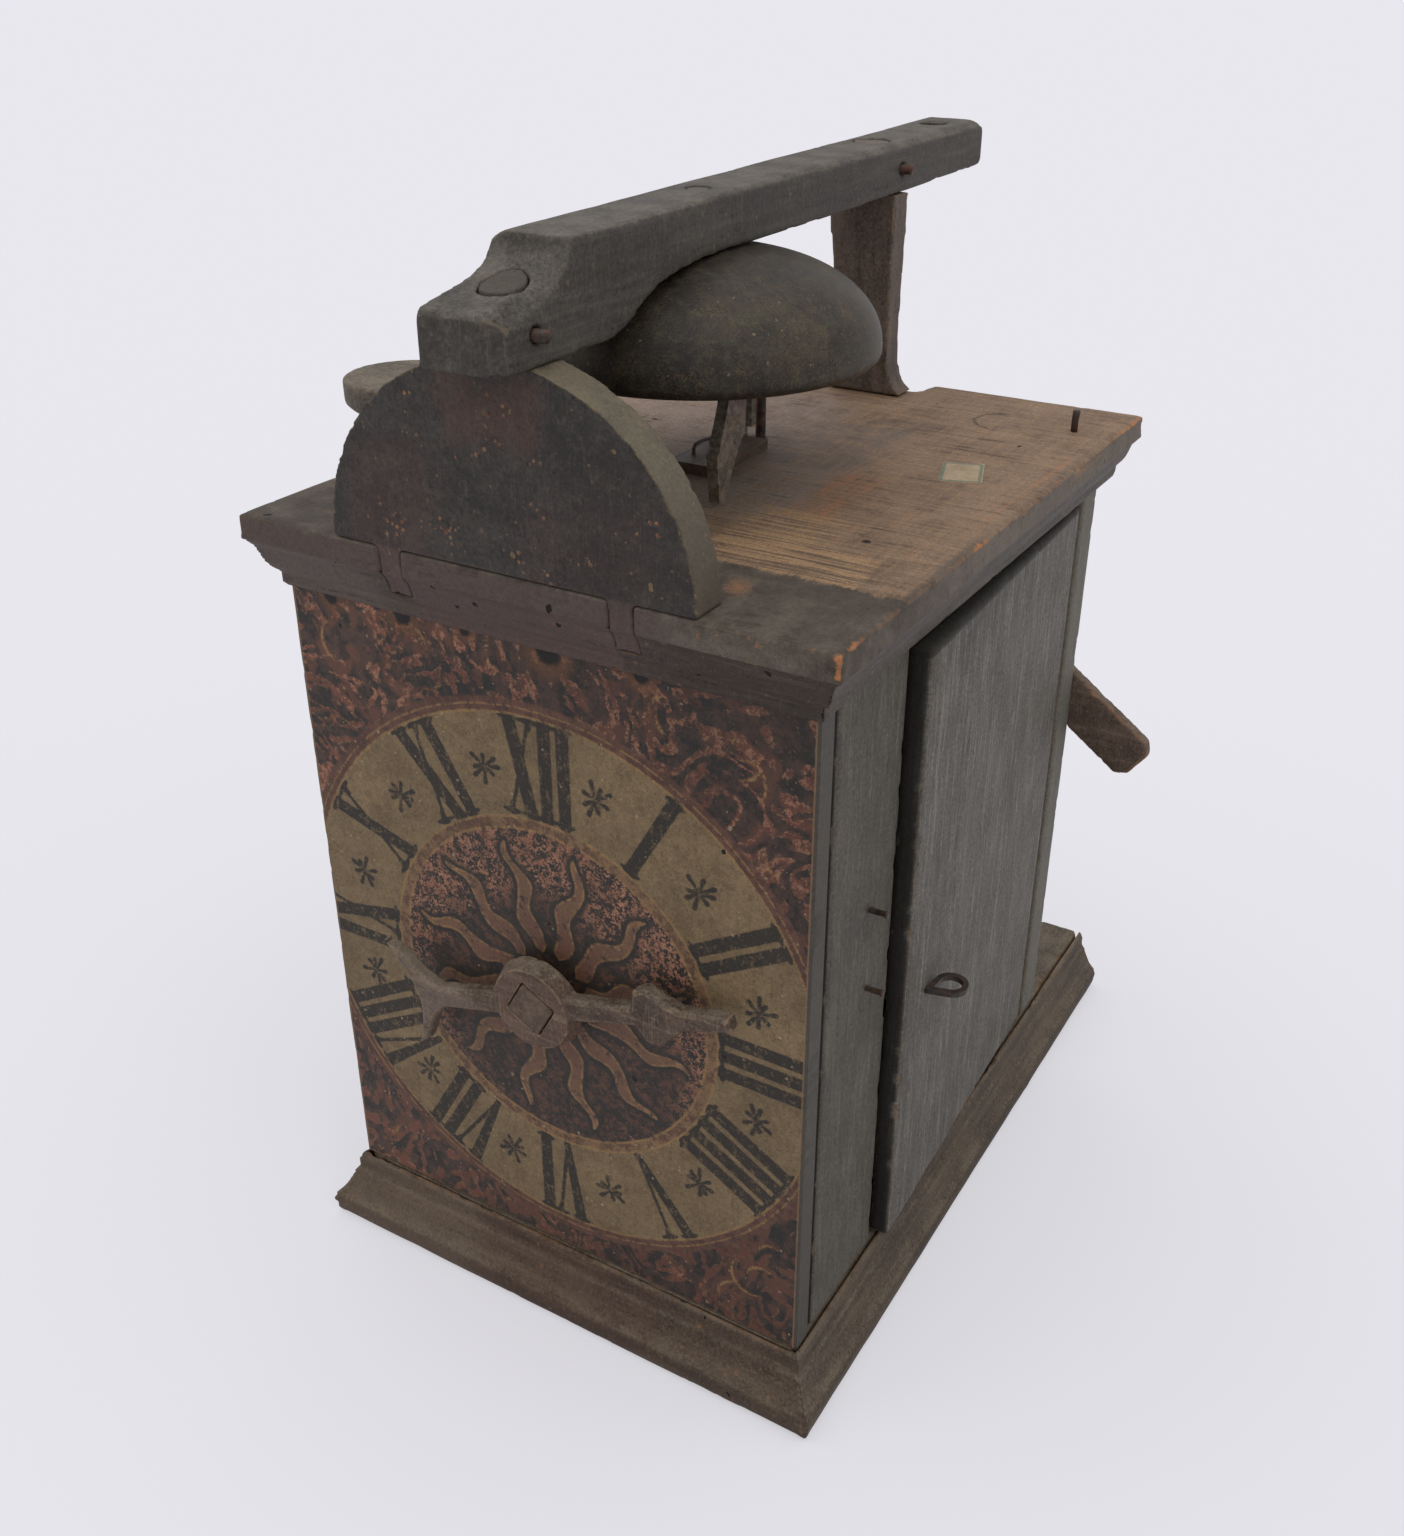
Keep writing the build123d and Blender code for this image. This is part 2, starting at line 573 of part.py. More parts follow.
# Sides: front stile, rear post and top rail on each side
for word, side in (("left", -1), ("right", 1)):
    outer = side * CASE_HALF
    inner = side * (CASE_HALF - BOARD)
    post_inner = side * (CASE_HALF - STILE_REAR_WIDTH)
    across = sorted((inner, outer))
    heights = (BASE_TOP, TOP_UNDER)
    pieces["stile_front_" + word] = block(across, (DIAL_THICK, STILE_FRONT_REAR_EDGE), heights)
    pieces["stile_rear_" + word] = block(
        sorted((post_inner, outer)), (STILE_REAR_FRONT_EDGE, CASE_REAR), heights
    )
    with BuildPart() as rail:
        add(block(across, (STILE_FRONT_REAR_EDGE, STILE_REAR_FRONT_EDGE), (CORNICE_BOTTOM, TOP_UNDER)).part)
        with BuildSketch(Plane.XY.offset(CORNICE_BOTTOM)):
            with Locations((side * DOOR_AXIS_X, DOOR_AXIS_Y)):
                Circle(DOOR_PIN_R + PIN_PLAY)
        extrude(amount=PIN_IN_CASE + JOINT_GAP, mode=Mode.SUBTRACT)
    pieces["side_rail_" + word] = rail

# Back board between the rear posts
BACK_HALF = CASE_HALF - STILE_REAR_WIDTH
with BuildPart() as back_board:
    add(block((-BACK_HALF, BACK_HALF), (CASE_REAR - BACK_THICK, CASE_REAR), (BASE_TOP, TOP_UNDER)).part)
    with BuildSketch(at_y(CASE_REAR)):
        with Locations(ANCHOR):
            Circle(THIN_STICK_R + 2)
    extrude(amount=BACK_THICK, mode=Mode.SUBTRACT)
pieces["back_board"] = back_board

# Movement uprights; the middle one has blind holes from both faces
GOING_HOLES = [(GREAT, BIG_PIVOT_R), (SECOND, PIVOT_R), (ESCAPE, PIVOT_R), (ANCHOR, PIVOT_R)]
STRIKE_HOLES = [(GREAT, BIG_PIVOT_R), (STRIKE_SECOND, PIVOT_R), (FLY, PIVOT_R)]
pieces["upright_front"] = upright(FRONT_UPRIGHT, [(HOUR, BIG_PIVOT_R)] + GOING_HOLES)
with BuildPart() as upright_middle:
    add(block((-UPRIGHT_HALF, UPRIGHT_HALF), MIDDLE_UPRIGHT, (BASE_TOP, TOP_UNDER)).part)
    with BuildSketch(at_y(MIDDLE_UPRIGHT[0] + BLIND_HOLE)):
        for centre, radius in GOING_HOLES[:-1]:
            with Locations(centre):
                Circle(radius + PIVOT_PLAY)
    extrude(amount=BLIND_HOLE, mode=Mode.SUBTRACT)
    with BuildSketch(at_y(MIDDLE_UPRIGHT[1])):
        for centre, radius in STRIKE_HOLES:
            with Locations(centre):
                Circle(radius + PIVOT_PLAY)
    extrude(amount=BLIND_HOLE - 1, mode=Mode.SUBTRACT)
    with BuildSketch(at_y(MIDDLE_UPRIGHT[1])):
        with Locations(ANCHOR):
            Circle(THIN_STICK_R + 1)
    extrude(amount=MIDDLE_UPRIGHT[1] - MIDDLE_UPRIGHT[0], mode=Mode.SUBTRACT)
pieces["upright_middle"] = upright_middle
pieces["upright_rear"] = upright(
    REAR_UPRIGHT, STRIKE_HOLES + [(ANCHOR, THIN_STICK_R), (COUNT, PIVOT_R - PIVOT_PLAY + SEAT)]
)

# Half-round board with the two legs let into the cornice
with BuildPart() as lunette:
    with BuildSketch(at_y(LUNETTE_BACK)):
        with Locations((LUNETTE_X, TOP_FACE)):
            Ellipse(LUNETTE_HALF, LUNETTE_RISE)
        with Locations((LUNETTE_X, TOP_FACE - LUNETTE_RISE)):
            Rectangle(3 * LUNETTE_HALF, 2 * LUNETTE_RISE, mode=Mode.SUBTRACT)
        with Locations((LUNETTE_X, BEAM_SEAT + LUNETTE_RISE)):
            Rectangle(LUNETTE_HALF, 2 * LUNETTE_RISE, mode=Mode.SUBTRACT)
    extrude(amount=LUNETTE_BACK - LUNETTE_FRONT)
    for left, right in LEGS:
        with BuildSketch(Plane.YZ.offset(left)):
            Polygon(
                (LEG_BACK, TOP_FACE), (LEG_BACK, LEG_BOTTOM), *LEG_FACE, (LUNETTE_FRONT, TOP_FACE), align=None
            )
        extrude(amount=right - left)
    with BuildSketch(Plane.XY.offset(BEAM_SEAT)):
        with Locations(FRONT_TENON):
            Circle(TENON_R)
    extrude(amount=BEAM_TOP - BEAM_SEAT)
    with BuildSketch(Plane.YZ.offset(-BEAM_HALF)):
        with BuildLine():
            Spline(*[(y, height + TENON_PROUD) for y, height in BEAM_COVE])
            Polyline(
                (COVE_TOP[0], COVE_TOP[1] + TENON_PROUD), (COVE_TOP[0], BEAM_TOP + 1),
                (BEAM_FRONT, BEAM_TOP + 1), (BEAM_FRONT, NOSE_TOP + TENON_PROUD),
                (BEAM_COVE[0][0], NOSE_TOP + TENON_PROUD),
            )
        make_face()
        with Locations(CROSS_PINS[0]):
            Circle(CROSS_PIN_R + SEAT)
    extrude(amount=2 * BEAM_HALF, mode=Mode.SUBTRACT)
pieces["lunette"] = lunette

# Beam: side outline, then the long edges taken off and the holes bored
with BuildPart() as bell_beam:
    with BuildSketch(Plane.YZ.offset(-BEAM_HALF)):
        with BuildLine():
            Polyline(BEAM_HAUNCH[-1], (BEAM_FRONT, BEAM_SEAT), *BEAM_NOSE)
            Spline(*BEAM_COVE)
            Polyline(BEAM_COVE[-1], *BEAM_TAIL)
            Spline(*BEAM_HAUNCH)
        make_face()
    extrude(amount=2 * BEAM_HALF)
    right_side = bell_beam.edges().filter_by_position(Axis.X, BEAM_HALF - SEAT, BEAM_HALF + SEAT)
    nose_edges = right_side.filter_by_position(Axis.Y, BEAM_FRONT - SEAT, COVE_TOP[0] - SEAT)
    chamfer(nose_edges.filter_by_position(Axis.Z, BEAM_SEAT + 1, BEAM_TOP), length=BEAM_CORNER)
    with BuildSketch(Plane.YZ.offset(-BEAM_HALF)):
        Polygon(
            (BEAM_FRONT - 1, NOSE_TOP), (BEAM_FRONT - 1, NOSE_BEVEL[0][1]), *NOSE_BEVEL,
            (NOSE_BEVEL[1][0], NOSE_TOP), align=None,
        )
    extrude(amount=2 * BEAM_HALF, mode=Mode.SUBTRACT)
    for side in (-1, 1):
        for y, (edge, drop), top in (
            (COVE_TOP[0] - 3, BEAM_EDGES_FRONT[side], COVE_TOP[1]), (BEAM_REAR, BEAM_EDGE_REAR, BEAM_TOP),
        ):
            with BuildSketch(at_y(y)):
                Polygon(
                    (side * (BEAM_HALF - edge), top), (side * BEAM_HALF, top - drop),
                    (side * (BEAM_HALF + 2), top - drop), (side * (BEAM_HALF + 2), top + 2),
                    (side * (BEAM_HALF - edge), top + 2), align=None,
                )
        loft(mode=Mode.SUBTRACT)
    with BuildSketch(Plane.XY.offset(BEAM_SEAT)):
        with Locations(FRONT_TENON, REAR_TENON):
            Circle(TENON_R + SEAT)
        with Locations((0, BELL_Y)):
            Circle(BOLT_R + SEAT)
        with Locations((0, WALL_HOLE_Y)):
            Circle(WALL_HOLE_R)
    extrude(amount=BEAM_TOP - BEAM_SEAT, mode=Mode.SUBTRACT)
    with BuildSketch(Plane.YZ.offset(-BEAM_HALF)):
        with Locations(*CROSS_PINS):
            Circle(CROSS_PIN_R + SEAT)
    extrude(amount=2 * BEAM_HALF, mode=Mode.SUBTRACT)
pieces["bell_beam"] = bell_beam

# Post behind the bell, leaning forward, its foot spreading
with BuildPart() as bell_post:
    with BuildSketch(at_y(POST_FOOT[1])):
        with BuildLine():
            head = Line((-POST_HEAD_HALF, BEAM_UNDER_REAR), (POST_HEAD_HALF, BEAM_UNDER_REAR))
            Line(head @ 1, POST_FLARE[0])
            Spline(*POST_FLARE)
            Line(POST_FLARE[-1], (-POST_FLARE[-1][0], TOP_FACE))
            Spline(*[(-half, height) for half, height in reversed(POST_FLARE)])
            Line((-POST_FLARE[0][0], POST_FLARE[0][1]), head @ 0)
        make_face()
    extrude(amount=POST_FOOT[1] - POST_HEAD[0])
    with BuildSketch(Plane.YZ.offset(-NOTCH_HALF_REAR)):
        Polygon(
            (POST_FOOT[0], TOP_FACE), (POST_FOOT[1], TOP_FACE), (POST_HEAD[1], BEAM_UNDER_REAR),
            (POST_HEAD[0], BEAM_UNDER_REAR), align=None,
        )
    extrude(amount=2 * NOTCH_HALF_REAR, mode=Mode.INTERSECT)
    with BuildSketch(Plane.XY.offset(BEAM_UNDER_REAR)):
        with Locations(REAR_TENON):
            Circle(TENON_R)
    extrude(amount=BEAM_TOP - BEAM_UNDER_REAR - TENON_SHORT)
    with BuildSketch(Plane.YZ.offset(-BEAM_HALF)):
        with Locations(CROSS_PINS[1]):
            Circle(CROSS_PIN_R + SEAT)
    extrude(amount=2 * BEAM_HALF, mode=Mode.SUBTRACT)
pieces["bell_post"] = bell_post

# Bell: a turned shell with a bolt hole in the crown
with BuildPart() as bell:
    with BuildSketch(at_y(BELL_Y)):
        with BuildLine():
            bell_side(BELL_RIM_R, BELL_R, BELL_SEAT)
            bell_side(BELL_RIM_R - BELL_WALL, BELL_R - BELL_WALL, BELL_SEAT - BELL_WALL)
            Polyline(
                (BELL_FLAT_R, BELL_SEAT), (BOLT_R + SEAT, BELL_SEAT),
                (BOLT_R + SEAT, BELL_SEAT - BELL_WALL), (BELL_FLAT_R, BELL_SEAT - BELL_WALL),
            )
            Line((BELL_RIM_R - BELL_WALL, BELL_RIM_Z), (BELL_RIM_R, BELL_RIM_Z))
        make_face()
    revolve(axis=Axis((0, BELL_Y, 0), (0, 0, 1)))
pieces["bell"] = bell

with BuildPart() as bell_bolt:
    with BuildSketch(Plane.XY.offset(BELL_SEAT - BELL_WALL - BOLT_NUT - BOLT_TAIL)):
        with Locations((0, BELL_Y)):
            Circle(BOLT_R)
    extrude(amount=BOLT_TOP - BELL_SEAT + BELL_WALL + BOLT_NUT + BOLT_TAIL)
    with BuildSketch(Plane.XY.offset(BELL_SEAT - BELL_WALL - BOLT_NUT)):
        with Locations((0, BELL_Y)):
            RegularPolygon(BOLT_NUT_R, 4)
    extrude(amount=BOLT_NUT)
pieces["bell_bolt"] = bell_bolt

# Doors: local x runs from the pivot to the free edge, local y out of the case
for word, side, ajar in (("right", 1, DOOR_AJAR), ("left", -1, 0.0)):
    turn = math.radians(ajar)
    along = (side * math.sin(turn), -math.cos(turn), 0)
    axis_point = (side * DOOR_AXIS_X, DOOR_AXIS_Y, 0)
    door_plane = Plane(origin=axis_point, x_dir=along, z_dir=(0, 0, 1))
    with BuildPart() as door:
        with BuildSketch(door_plane.offset(DOOR_BOTTOM)):
            with Locations((DOOR_REACH / 2, 0)):
                Rectangle(DOOR_REACH, BOARD)
            Circle(BOARD / 2)
            Circle(DOOR_PIN_R, mode=Mode.SUBTRACT)
        extrude(amount=DOOR_TOP - DOOR_BOTTOM)
        free = door.faces().sort_by(Axis.Y)[0]
        chamfer(free.edges().filter_by(Axis.Z), DOOR_CHAMFER)
        with BuildSketch(door_plane.offset(RING_Z)):
            with Locations((RING_REACH, side * (BOARD - RING_SHANK_DEPTH) / 2)):
                Rectangle(2 * RING_WIRE_R, RING_SHANK_DEPTH)
        extrude(amount=RING_WIRE_R, both=True, mode=Mode.SUBTRACT)
    pieces["door_" + word] = door
    with BuildPart() as door_wire:
        with BuildSketch(door_plane.offset(BASE_TOP - PIN_IN_CASE)):
            Circle(DOOR_PIN_R)
        extrude(amount=CORNICE_BOTTOM - BASE_TOP + 2 * PIN_IN_CASE)
    pieces["door_wire_" + word] = door_wire
    with BuildPart() as ring:
        with BuildSketch(door_plane.offset(RING_Z)):
            with Locations((RING_REACH, side * (BOARD - RING_SHANK_DEPTH + RING_OUT) / 2)):
                Rectangle(2 * RING_WIRE_R, RING_SHANK_DEPTH + RING_OUT)
        extrude(amount=RING_WIRE_R, both=True)
        with BuildSketch(door_plane.offset(RING_Z)):
            with Locations((RING_REACH, side * (BOARD / 2 + RING_OUT))):
                Circle(RING_WIRE_R)
            with Locations((RING_CENTRE_REACH, side * RING_CENTRE_OUT)):
                Circle(RING_R)
            make_hull()
            offset(amount=-2 * RING_WIRE_R, mode=Mode.SUBTRACT)
        extrude(amount=RING_WIRE_R, both=True)
    pieces["ring_pull_" + word] = ring


# Hand: turned a little above the horizontal, with a square hole for its arbor
HAND_TURN = math.radians(HAND_ANGLE)
HAND_ALONG = (math.cos(HAND_TURN), 0, math.sin(HAND_TURN))
hand_plane = Plane(origin=(0, HAND_BACK, DIAL_Z), x_dir=HAND_ALONG, z_dir=(0, -1, 0))
with BuildPart() as hour_hand:
    with BuildSketch(hand_plane):
        with BuildLine():
            lower = [(along, -across) for along, across in reversed(HAND_UPPER)]
            Polyline(*HAND_UPPER, *lower)
            Spline(*HAND_HOLLOW)
        make_face()
    extrude(amount=HAND_BACK - HAND_FRONT - HAND_RELIEF)
    chamfer(hour_hand.faces().sort_by(Axis.Y)[0].edges(), HAND_CHAMFER)
    with BuildSketch(hand_plane):
        Circle(HUB_R)
    extrude(amount=HAND_BACK - HAND_FRONT, taper=HUB_TAPER)
    with BuildSketch(hand_plane):
        Rectangle(ARBOR_SQUARE + 2 * SEAT, ARBOR_SQUARE + 2 * SEAT, rotation=45)
    extrude(amount=HAND_BACK - HAND_FRONT, mode=Mode.SUBTRACT)
pieces["hour_hand"] = hour_hand

with BuildPart() as hour_arbor:
    add(rod(HOUR, HAND_BACK, HOUR_WHEEL_Y[1] + 1.5, ARBOR_R).part)
    add(rod(HOUR, HOUR_WHEEL_Y[1], FRONT_UPRIGHT[1], BIG_PIVOT_R).part)
    with BuildSketch(hand_plane):
        Rectangle(ARBOR_SQUARE, ARBOR_SQUARE, rotation=45)
    extrude(amount=HAND_BACK - HAND_FRONT)
pieces["hour_arbor"] = hour_arbor
pieces["hour_wheel"] = wheel(HOUR, HOUR_WHEEL_Y, HOUR_TEETH, HOUR_MODULE, -90, ARBOR_R)

# Going train
with BuildPart() as going_great_arbor:
    add(lantern(GREAT, HOUR_WHEEL_Y, HOUR_MODULE, PINS, 90, gap=0.6, cheek=1.2).part)
    add(rod(GREAT, HOUR_WHEEL_Y[1] + 1, MIDDLE_UPRIGHT[0] + BLIND_PIVOT, BIG_PIVOT_R).part)
    add(stick(GREAT, FRONT_UPRIGHT[1] + 1, MIDDLE_UPRIGHT[0] - 1, ARBOR_STICK_R).part)
    add(pulley(GREAT, PULLEY_Y).part)
pieces["going_great_arbor"] = going_great_arbor
pieces["going_great_wheel"] = wheel(
    GREAT, GREAT_WHEEL_Y, GREAT_TEETH, GREAT_MODULE, SECOND_BEARING, ARBOR_STICK_R
)
with BuildPart() as going_second_arbor:
    add(lantern(SECOND, GREAT_WHEEL_Y, GREAT_MODULE, PINS, SECOND_BEARING + 180).part)
    add(rod(SECOND, FRONT_UPRIGHT[0], GREAT_WHEEL_Y[0] - 2, PIVOT_R).part)
    add(stick(SECOND, FRONT_UPRIGHT[1] + 1, GREAT_WHEEL_Y[0] - 1, THIN_STICK_R).part)
    add(stick(SECOND, GREAT_WHEEL_Y[1] + 1, MIDDLE_UPRIGHT[0] - 1, THIN_STICK_R).part)
    add(rod(SECOND, MIDDLE_UPRIGHT[0] - 2, MIDDLE_UPRIGHT[0] + BLIND_PIVOT, PIVOT_R).part)
pieces["going_second_arbor"] = going_second_arbor
pieces["going_second_wheel"] = wheel(
    SECOND, SECOND_WHEEL_Y, SECOND_TEETH, SECOND_MODULE, ESCAPE_BEARING, THIN_STICK_R
)
with BuildPart() as escape_arbor:
    add(lantern(ESCAPE, SECOND_WHEEL_Y, SECOND_MODULE, PINS, ESCAPE_BEARING + 180).part)
    add(rod(ESCAPE, FRONT_UPRIGHT[0], SECOND_WHEEL_Y[0] - 2, PIVOT_R).part)
    add(stick(ESCAPE, FRONT_UPRIGHT[1] + 1, SECOND_WHEEL_Y[0] - 1, THIN_STICK_R).part)
    add(stick(ESCAPE, SECOND_WHEEL_Y[1] + 1, MIDDLE_UPRIGHT[0] - 1, THIN_STICK_R).part)
    add(rod(ESCAPE, MIDDLE_UPRIGHT[0] - 2, MIDDLE_UPRIGHT[0] + BLIND_PIVOT, PIVOT_R).part)
pieces["escape_arbor"] = escape_arbor
with BuildPart() as escape_wheel:
    with BuildSketch(at_y(ESCAPE_WHEEL_Y[1])):
        with Locations(ESCAPE):
            Polygon(*escape_outline(), align=None)
            Circle(THIN_STICK_R + SEAT, mode=Mode.SUBTRACT)
    extrude(amount=ESCAPE_WHEEL_Y[1] - ESCAPE_WHEEL_Y[0])
pieces["escape_wheel"] = escape_wheel

# Anchor: a bowed iron bar with two pallets standing just clear of the teeth
with BuildPart() as anchor:
    with BuildSketch(at_y(ESCAPE_WHEEL_Y[1] + 1)):
        with Locations(ANCHOR):
            Polygon(*ANCHOR_OUTLINE, align=None)
            Circle(THIN_STICK_R + SEAT, mode=Mode.SUBTRACT)
    extrude(amount=ESCAPE_WHEEL_Y[1] - ESCAPE_WHEEL_Y[0] + 2)
pieces["anchor"] = anchor
with BuildPart() as anchor_arbor:
    add(rod(ANCHOR, FRONT_UPRIGHT[0], FRONT_UPRIGHT[1] + 2, PIVOT_R).part)
    add(rod(ANCHOR, FRONT_UPRIGHT[1] + 1, CRUTCH_Y[1], THIN_STICK_R).part)
    with BuildSketch(at_y(CRUTCH_Y[1])):
        with Locations((ANCHOR[0], ANCHOR[1] - CRUTCH_LENGTH / 2)):
            Rectangle(CRUTCH_WIDTH, CRUTCH_LENGTH)
        with Locations((ANCHOR[0], ANCHOR[1] - CRUTCH_LENGTH)):
            Circle(CRUTCH_LOOP_R + CRUTCH_LOOP_WALL)
            Circle(CRUTCH_LOOP_R, mode=Mode.SUBTRACT)
    extrude(amount=CRUTCH_Y[1] - CRUTCH_Y[0])
pieces["anchor_arbor"] = anchor_arbor

# Strike train
with BuildPart() as strike_great_arbor:
    add(rod(GREAT, MIDDLE_UPRIGHT[1] - BLIND_PIVOT + 1, MIDDLE_UPRIGHT[1] + 2, BIG_PIVOT_R).part)
    add(stick(GREAT, MIDDLE_UPRIGHT[1] + 1, REAR_UPRIGHT[0] - 1, ARBOR_STICK_R).part)
    add(rod(GREAT, REAR_UPRIGHT[0] - 2, COUNT_WHEEL_Y[0] - 1.5, BIG_PIVOT_R).part)
    add(pulley(GREAT, STRIKE_PULLEY_Y).part)
    add(lantern(GREAT, COUNT_WHEEL_Y, COUNT_MODULE, COUNT_PINS, -90).part)
pieces["strike_great_arbor"] = strike_great_arbor
with BuildPart() as strike_great_wheel:
    add(wheel(GREAT, STRIKE_WHEEL_Y, GREAT_TEETH, GREAT_MODULE, STRIKE_BEARING, ARBOR_STICK_R).part)
    for index in range(LIFT_PINS):
        spot = polar(GREAT, LIFT_CIRCLE, 22.5 + index * 360 / LIFT_PINS)
        add(stick(spot, STRIKE_WHEEL_Y[0] + 1, LIFT_PIN_END, LIFT_PIN_R).part)
pieces["strike_great_wheel"] = strike_great_wheel
with BuildPart() as strike_second_arbor:
    add(lantern(STRIKE_SECOND, STRIKE_WHEEL_Y, GREAT_MODULE, PINS, STRIKE_BEARING + 180).part)
    add(rod(STRIKE_SECOND, MIDDLE_UPRIGHT[1] - BLIND_PIVOT + 1, STRIKE_WHEEL_Y[0] - 2, PIVOT_R).part)
    add(stick(STRIKE_SECOND, MIDDLE_UPRIGHT[1] + 1, STRIKE_WHEEL_Y[0] - 1, THIN_STICK_R).part)
    add(stick(STRIKE_SECOND, STRIKE_WHEEL_Y[1] + 1, REAR_UPRIGHT[0] - 1, THIN_STICK_R).part)
    add(rod(STRIKE_SECOND, REAR_UPRIGHT[0] - 2, REAR_UPRIGHT[1], PIVOT_R).part)
pieces["strike_second_arbor"] = strike_second_arbor
pieces["strike_second_wheel"] = wheel(
    STRIKE_SECOND, STRIKE_SECOND_Y, FLY_TEETH, FLY_MODULE, 90, THIN_STICK_R
)
with BuildPart() as fly_arbor:
    add(lantern(FLY, STRIKE_SECOND_Y, FLY_MODULE, PINS, -90).part)
    add(rod(FLY, MIDDLE_UPRIGHT[1] - BLIND_PIVOT + 1, MIDDLE_UPRIGHT[1] + 2, PIVOT_R).part)
    add(stick(FLY, MIDDLE_UPRIGHT[1] + 1, STRIKE_SECOND_Y[0] - 1, THIN_STICK_R).part)
    add(stick(FLY, STRIKE_SECOND_Y[1] + 1, REAR_UPRIGHT[0] - 1, THIN_STICK_R).part)
    add(rod(FLY, REAR_UPRIGHT[0] - 2, REAR_UPRIGHT[1], PIVOT_R).part)
pieces["fly_arbor"] = fly_arbor
with BuildPart() as fly_vane:
    with BuildSketch(at_y(VANE_Y[1])):
        with Locations(FLY):
            Rectangle(2 * VANE_R, VANE_THICK)
            Circle(THIN_STICK_R + 2)
            Circle(THIN_STICK_R + SEAT, mode=Mode.SUBTRACT)
    extrude(amount=VANE_Y[1] - VANE_Y[0])
pieces["fly_vane"] = fly_vane

# Count wheel: toothed plate with a rim notched after 1, 2, ... 12 strokes
with BuildPart() as count_wheel:
    add(wheel(COUNT, COUNT_WHEEL_Y, COUNT_TEETH, COUNT_MODULE, 90, PIVOT_R + PIVOT_PLAY - SEAT).part)
    with BuildSketch(at_y(COUNT_WHEEL_Y[1] + COUNT_RIM_DEEP)):
        with Locations(COUNT):
            Circle(COUNT_RIM_R)
            Circle(COUNT_RIM_R - COUNT_RIM_WALL, mode=Mode.SUBTRACT)
        strokes = 0
        for hour in range(1, 13):
            bearing = 90 + 360 * strokes / STROKES_IN_TWELVE_HOURS
            with Locations(polar(COUNT, COUNT_RIM_R, bearing)):
                Rectangle(2 * COUNT_NOTCH_DEEP, COUNT_NOTCH_WIDE, rotation=bearing, mode=Mode.SUBTRACT)
            strokes += hour
    extrude(amount=COUNT_RIM_DEEP)
pieces["count_wheel"] = count_wheel
with BuildPart() as count_stud:
    add(rod(COUNT, REAR_UPRIGHT[0] + 2, COUNT_WHEEL_Y[1] + 2, PIVOT_R).part)
    add(rod(COUNT, COUNT_WHEEL_Y[1] + JOINT_GAP, COUNT_WHEEL_Y[1] + JOINT_GAP + STUD_HEAD, STUD_HEAD_R).part)
pieces["count_stud"] = count_stud

# Hammer: upright rod, arm inside the bell, hanging plate, and the tail by the lifting pins
ARM_DX = HAMMER_END[0] - HAMMER_X
ARM_DY = HAMMER_END[1] - HAMMER_Y
ARM_LENGTH = math.hypot(ARM_DX, ARM_DY)
ARM_TURN = math.degrees(math.atan2(ARM_DY, ARM_DX))
with BuildPart() as hammer_rod:
    with BuildSketch(Plane.XY.offset(HAMMER_FOOT)):
        with Locations((HAMMER_X, HAMMER_Y)):
            Circle(HAMMER_ROD_R)
    extrude(amount=HAMMER_ARM_Z[1] - HAMMER_FOOT)
    with BuildSketch(Plane.XY.offset(TAIL_Z[0])):
        with Locations((HAMMER_X, HAMMER_Y - TAIL_REACH / 2)):
            Rectangle(TAIL_WIDE, TAIL_REACH)
        with Locations((HAMMER_X, HAMMER_Y)):
            Circle(COLLAR_R)
    extrude(amount=TAIL_Z[1] - TAIL_Z[0])
    with BuildSketch(Plane.XY.offset(BRACKET_Z[1] + JOINT_GAP)):
        with Locations((HAMMER_X, HAMMER_Y)):
            Circle(COLLAR_R)
    extrude(amount=COLLAR)
pieces["hammer_rod"] = hammer_rod
with BuildPart() as hammer_arm:
    with BuildSketch(Plane.XY.offset(HAMMER_ARM_Z[0])):
        with Locations((HAMMER_X, HAMMER_Y)):
            Circle(HAMMER_BOSS_R)
        with Locations(((HAMMER_X + HAMMER_END[0]) / 2, (HAMMER_Y + HAMMER_END[1]) / 2)):
            Rectangle(ARM_LENGTH, HAMMER_ARM_WIDTH, rotation=ARM_TURN)
        with Locations((HAMMER_X, HAMMER_Y)):
            Circle(HAMMER_ROD_R, mode=Mode.SUBTRACT)
    extrude(amount=HAMMER_ARM_Z[1] - HAMMER_ARM_Z[0])
    with BuildSketch(Plane.YZ.offset(HAMMER_END[0] - HAMMER_PLATE / 2)):
        with BuildLine():
            Spline(*HAMMER_NOSE)
            Polyline(HAMMER_NOSE[-1], *HAMMER_EDGE, HAMMER_NOSE[0])
        make_face()
    extrude(amount=HAMMER_PLATE)
    with BuildSketch(Plane.XY.offset(HAMMER_ARM_Z[1] - 1)):
        with Locations(HAMMER_END):
            Rectangle(*HAMMER_HEAD, rotation=ARM_TURN + 90)
    extrude(amount=HAMMER_HEAD_TALL + 1)
pieces["hammer_arm"] = hammer_arm
with BuildPart() as hammer_bracket:
    add(block(BRACKET_X, (MIDDLE_UPRIGHT[1], BRACKET_END), BRACKET_Z).part)
    with BuildSketch(Plane.XY.offset(BRACKET_Z[0])):
        with Locations((HAMMER_X, HAMMER_Y)):
            Circle(HAMMER_ROD_R + PIVOT_PLAY)
    extrude(amount=BRACKET_Z[1] - BRACKET_Z[0], mode=Mode.SUBTRACT)
pieces["hammer_bracket"] = hammer_bracket
pieces["strike_block"] = block(BLOCK_X, BLOCK_Y, (TOP_FACE, TOP_FACE + BLOCK_THICK))
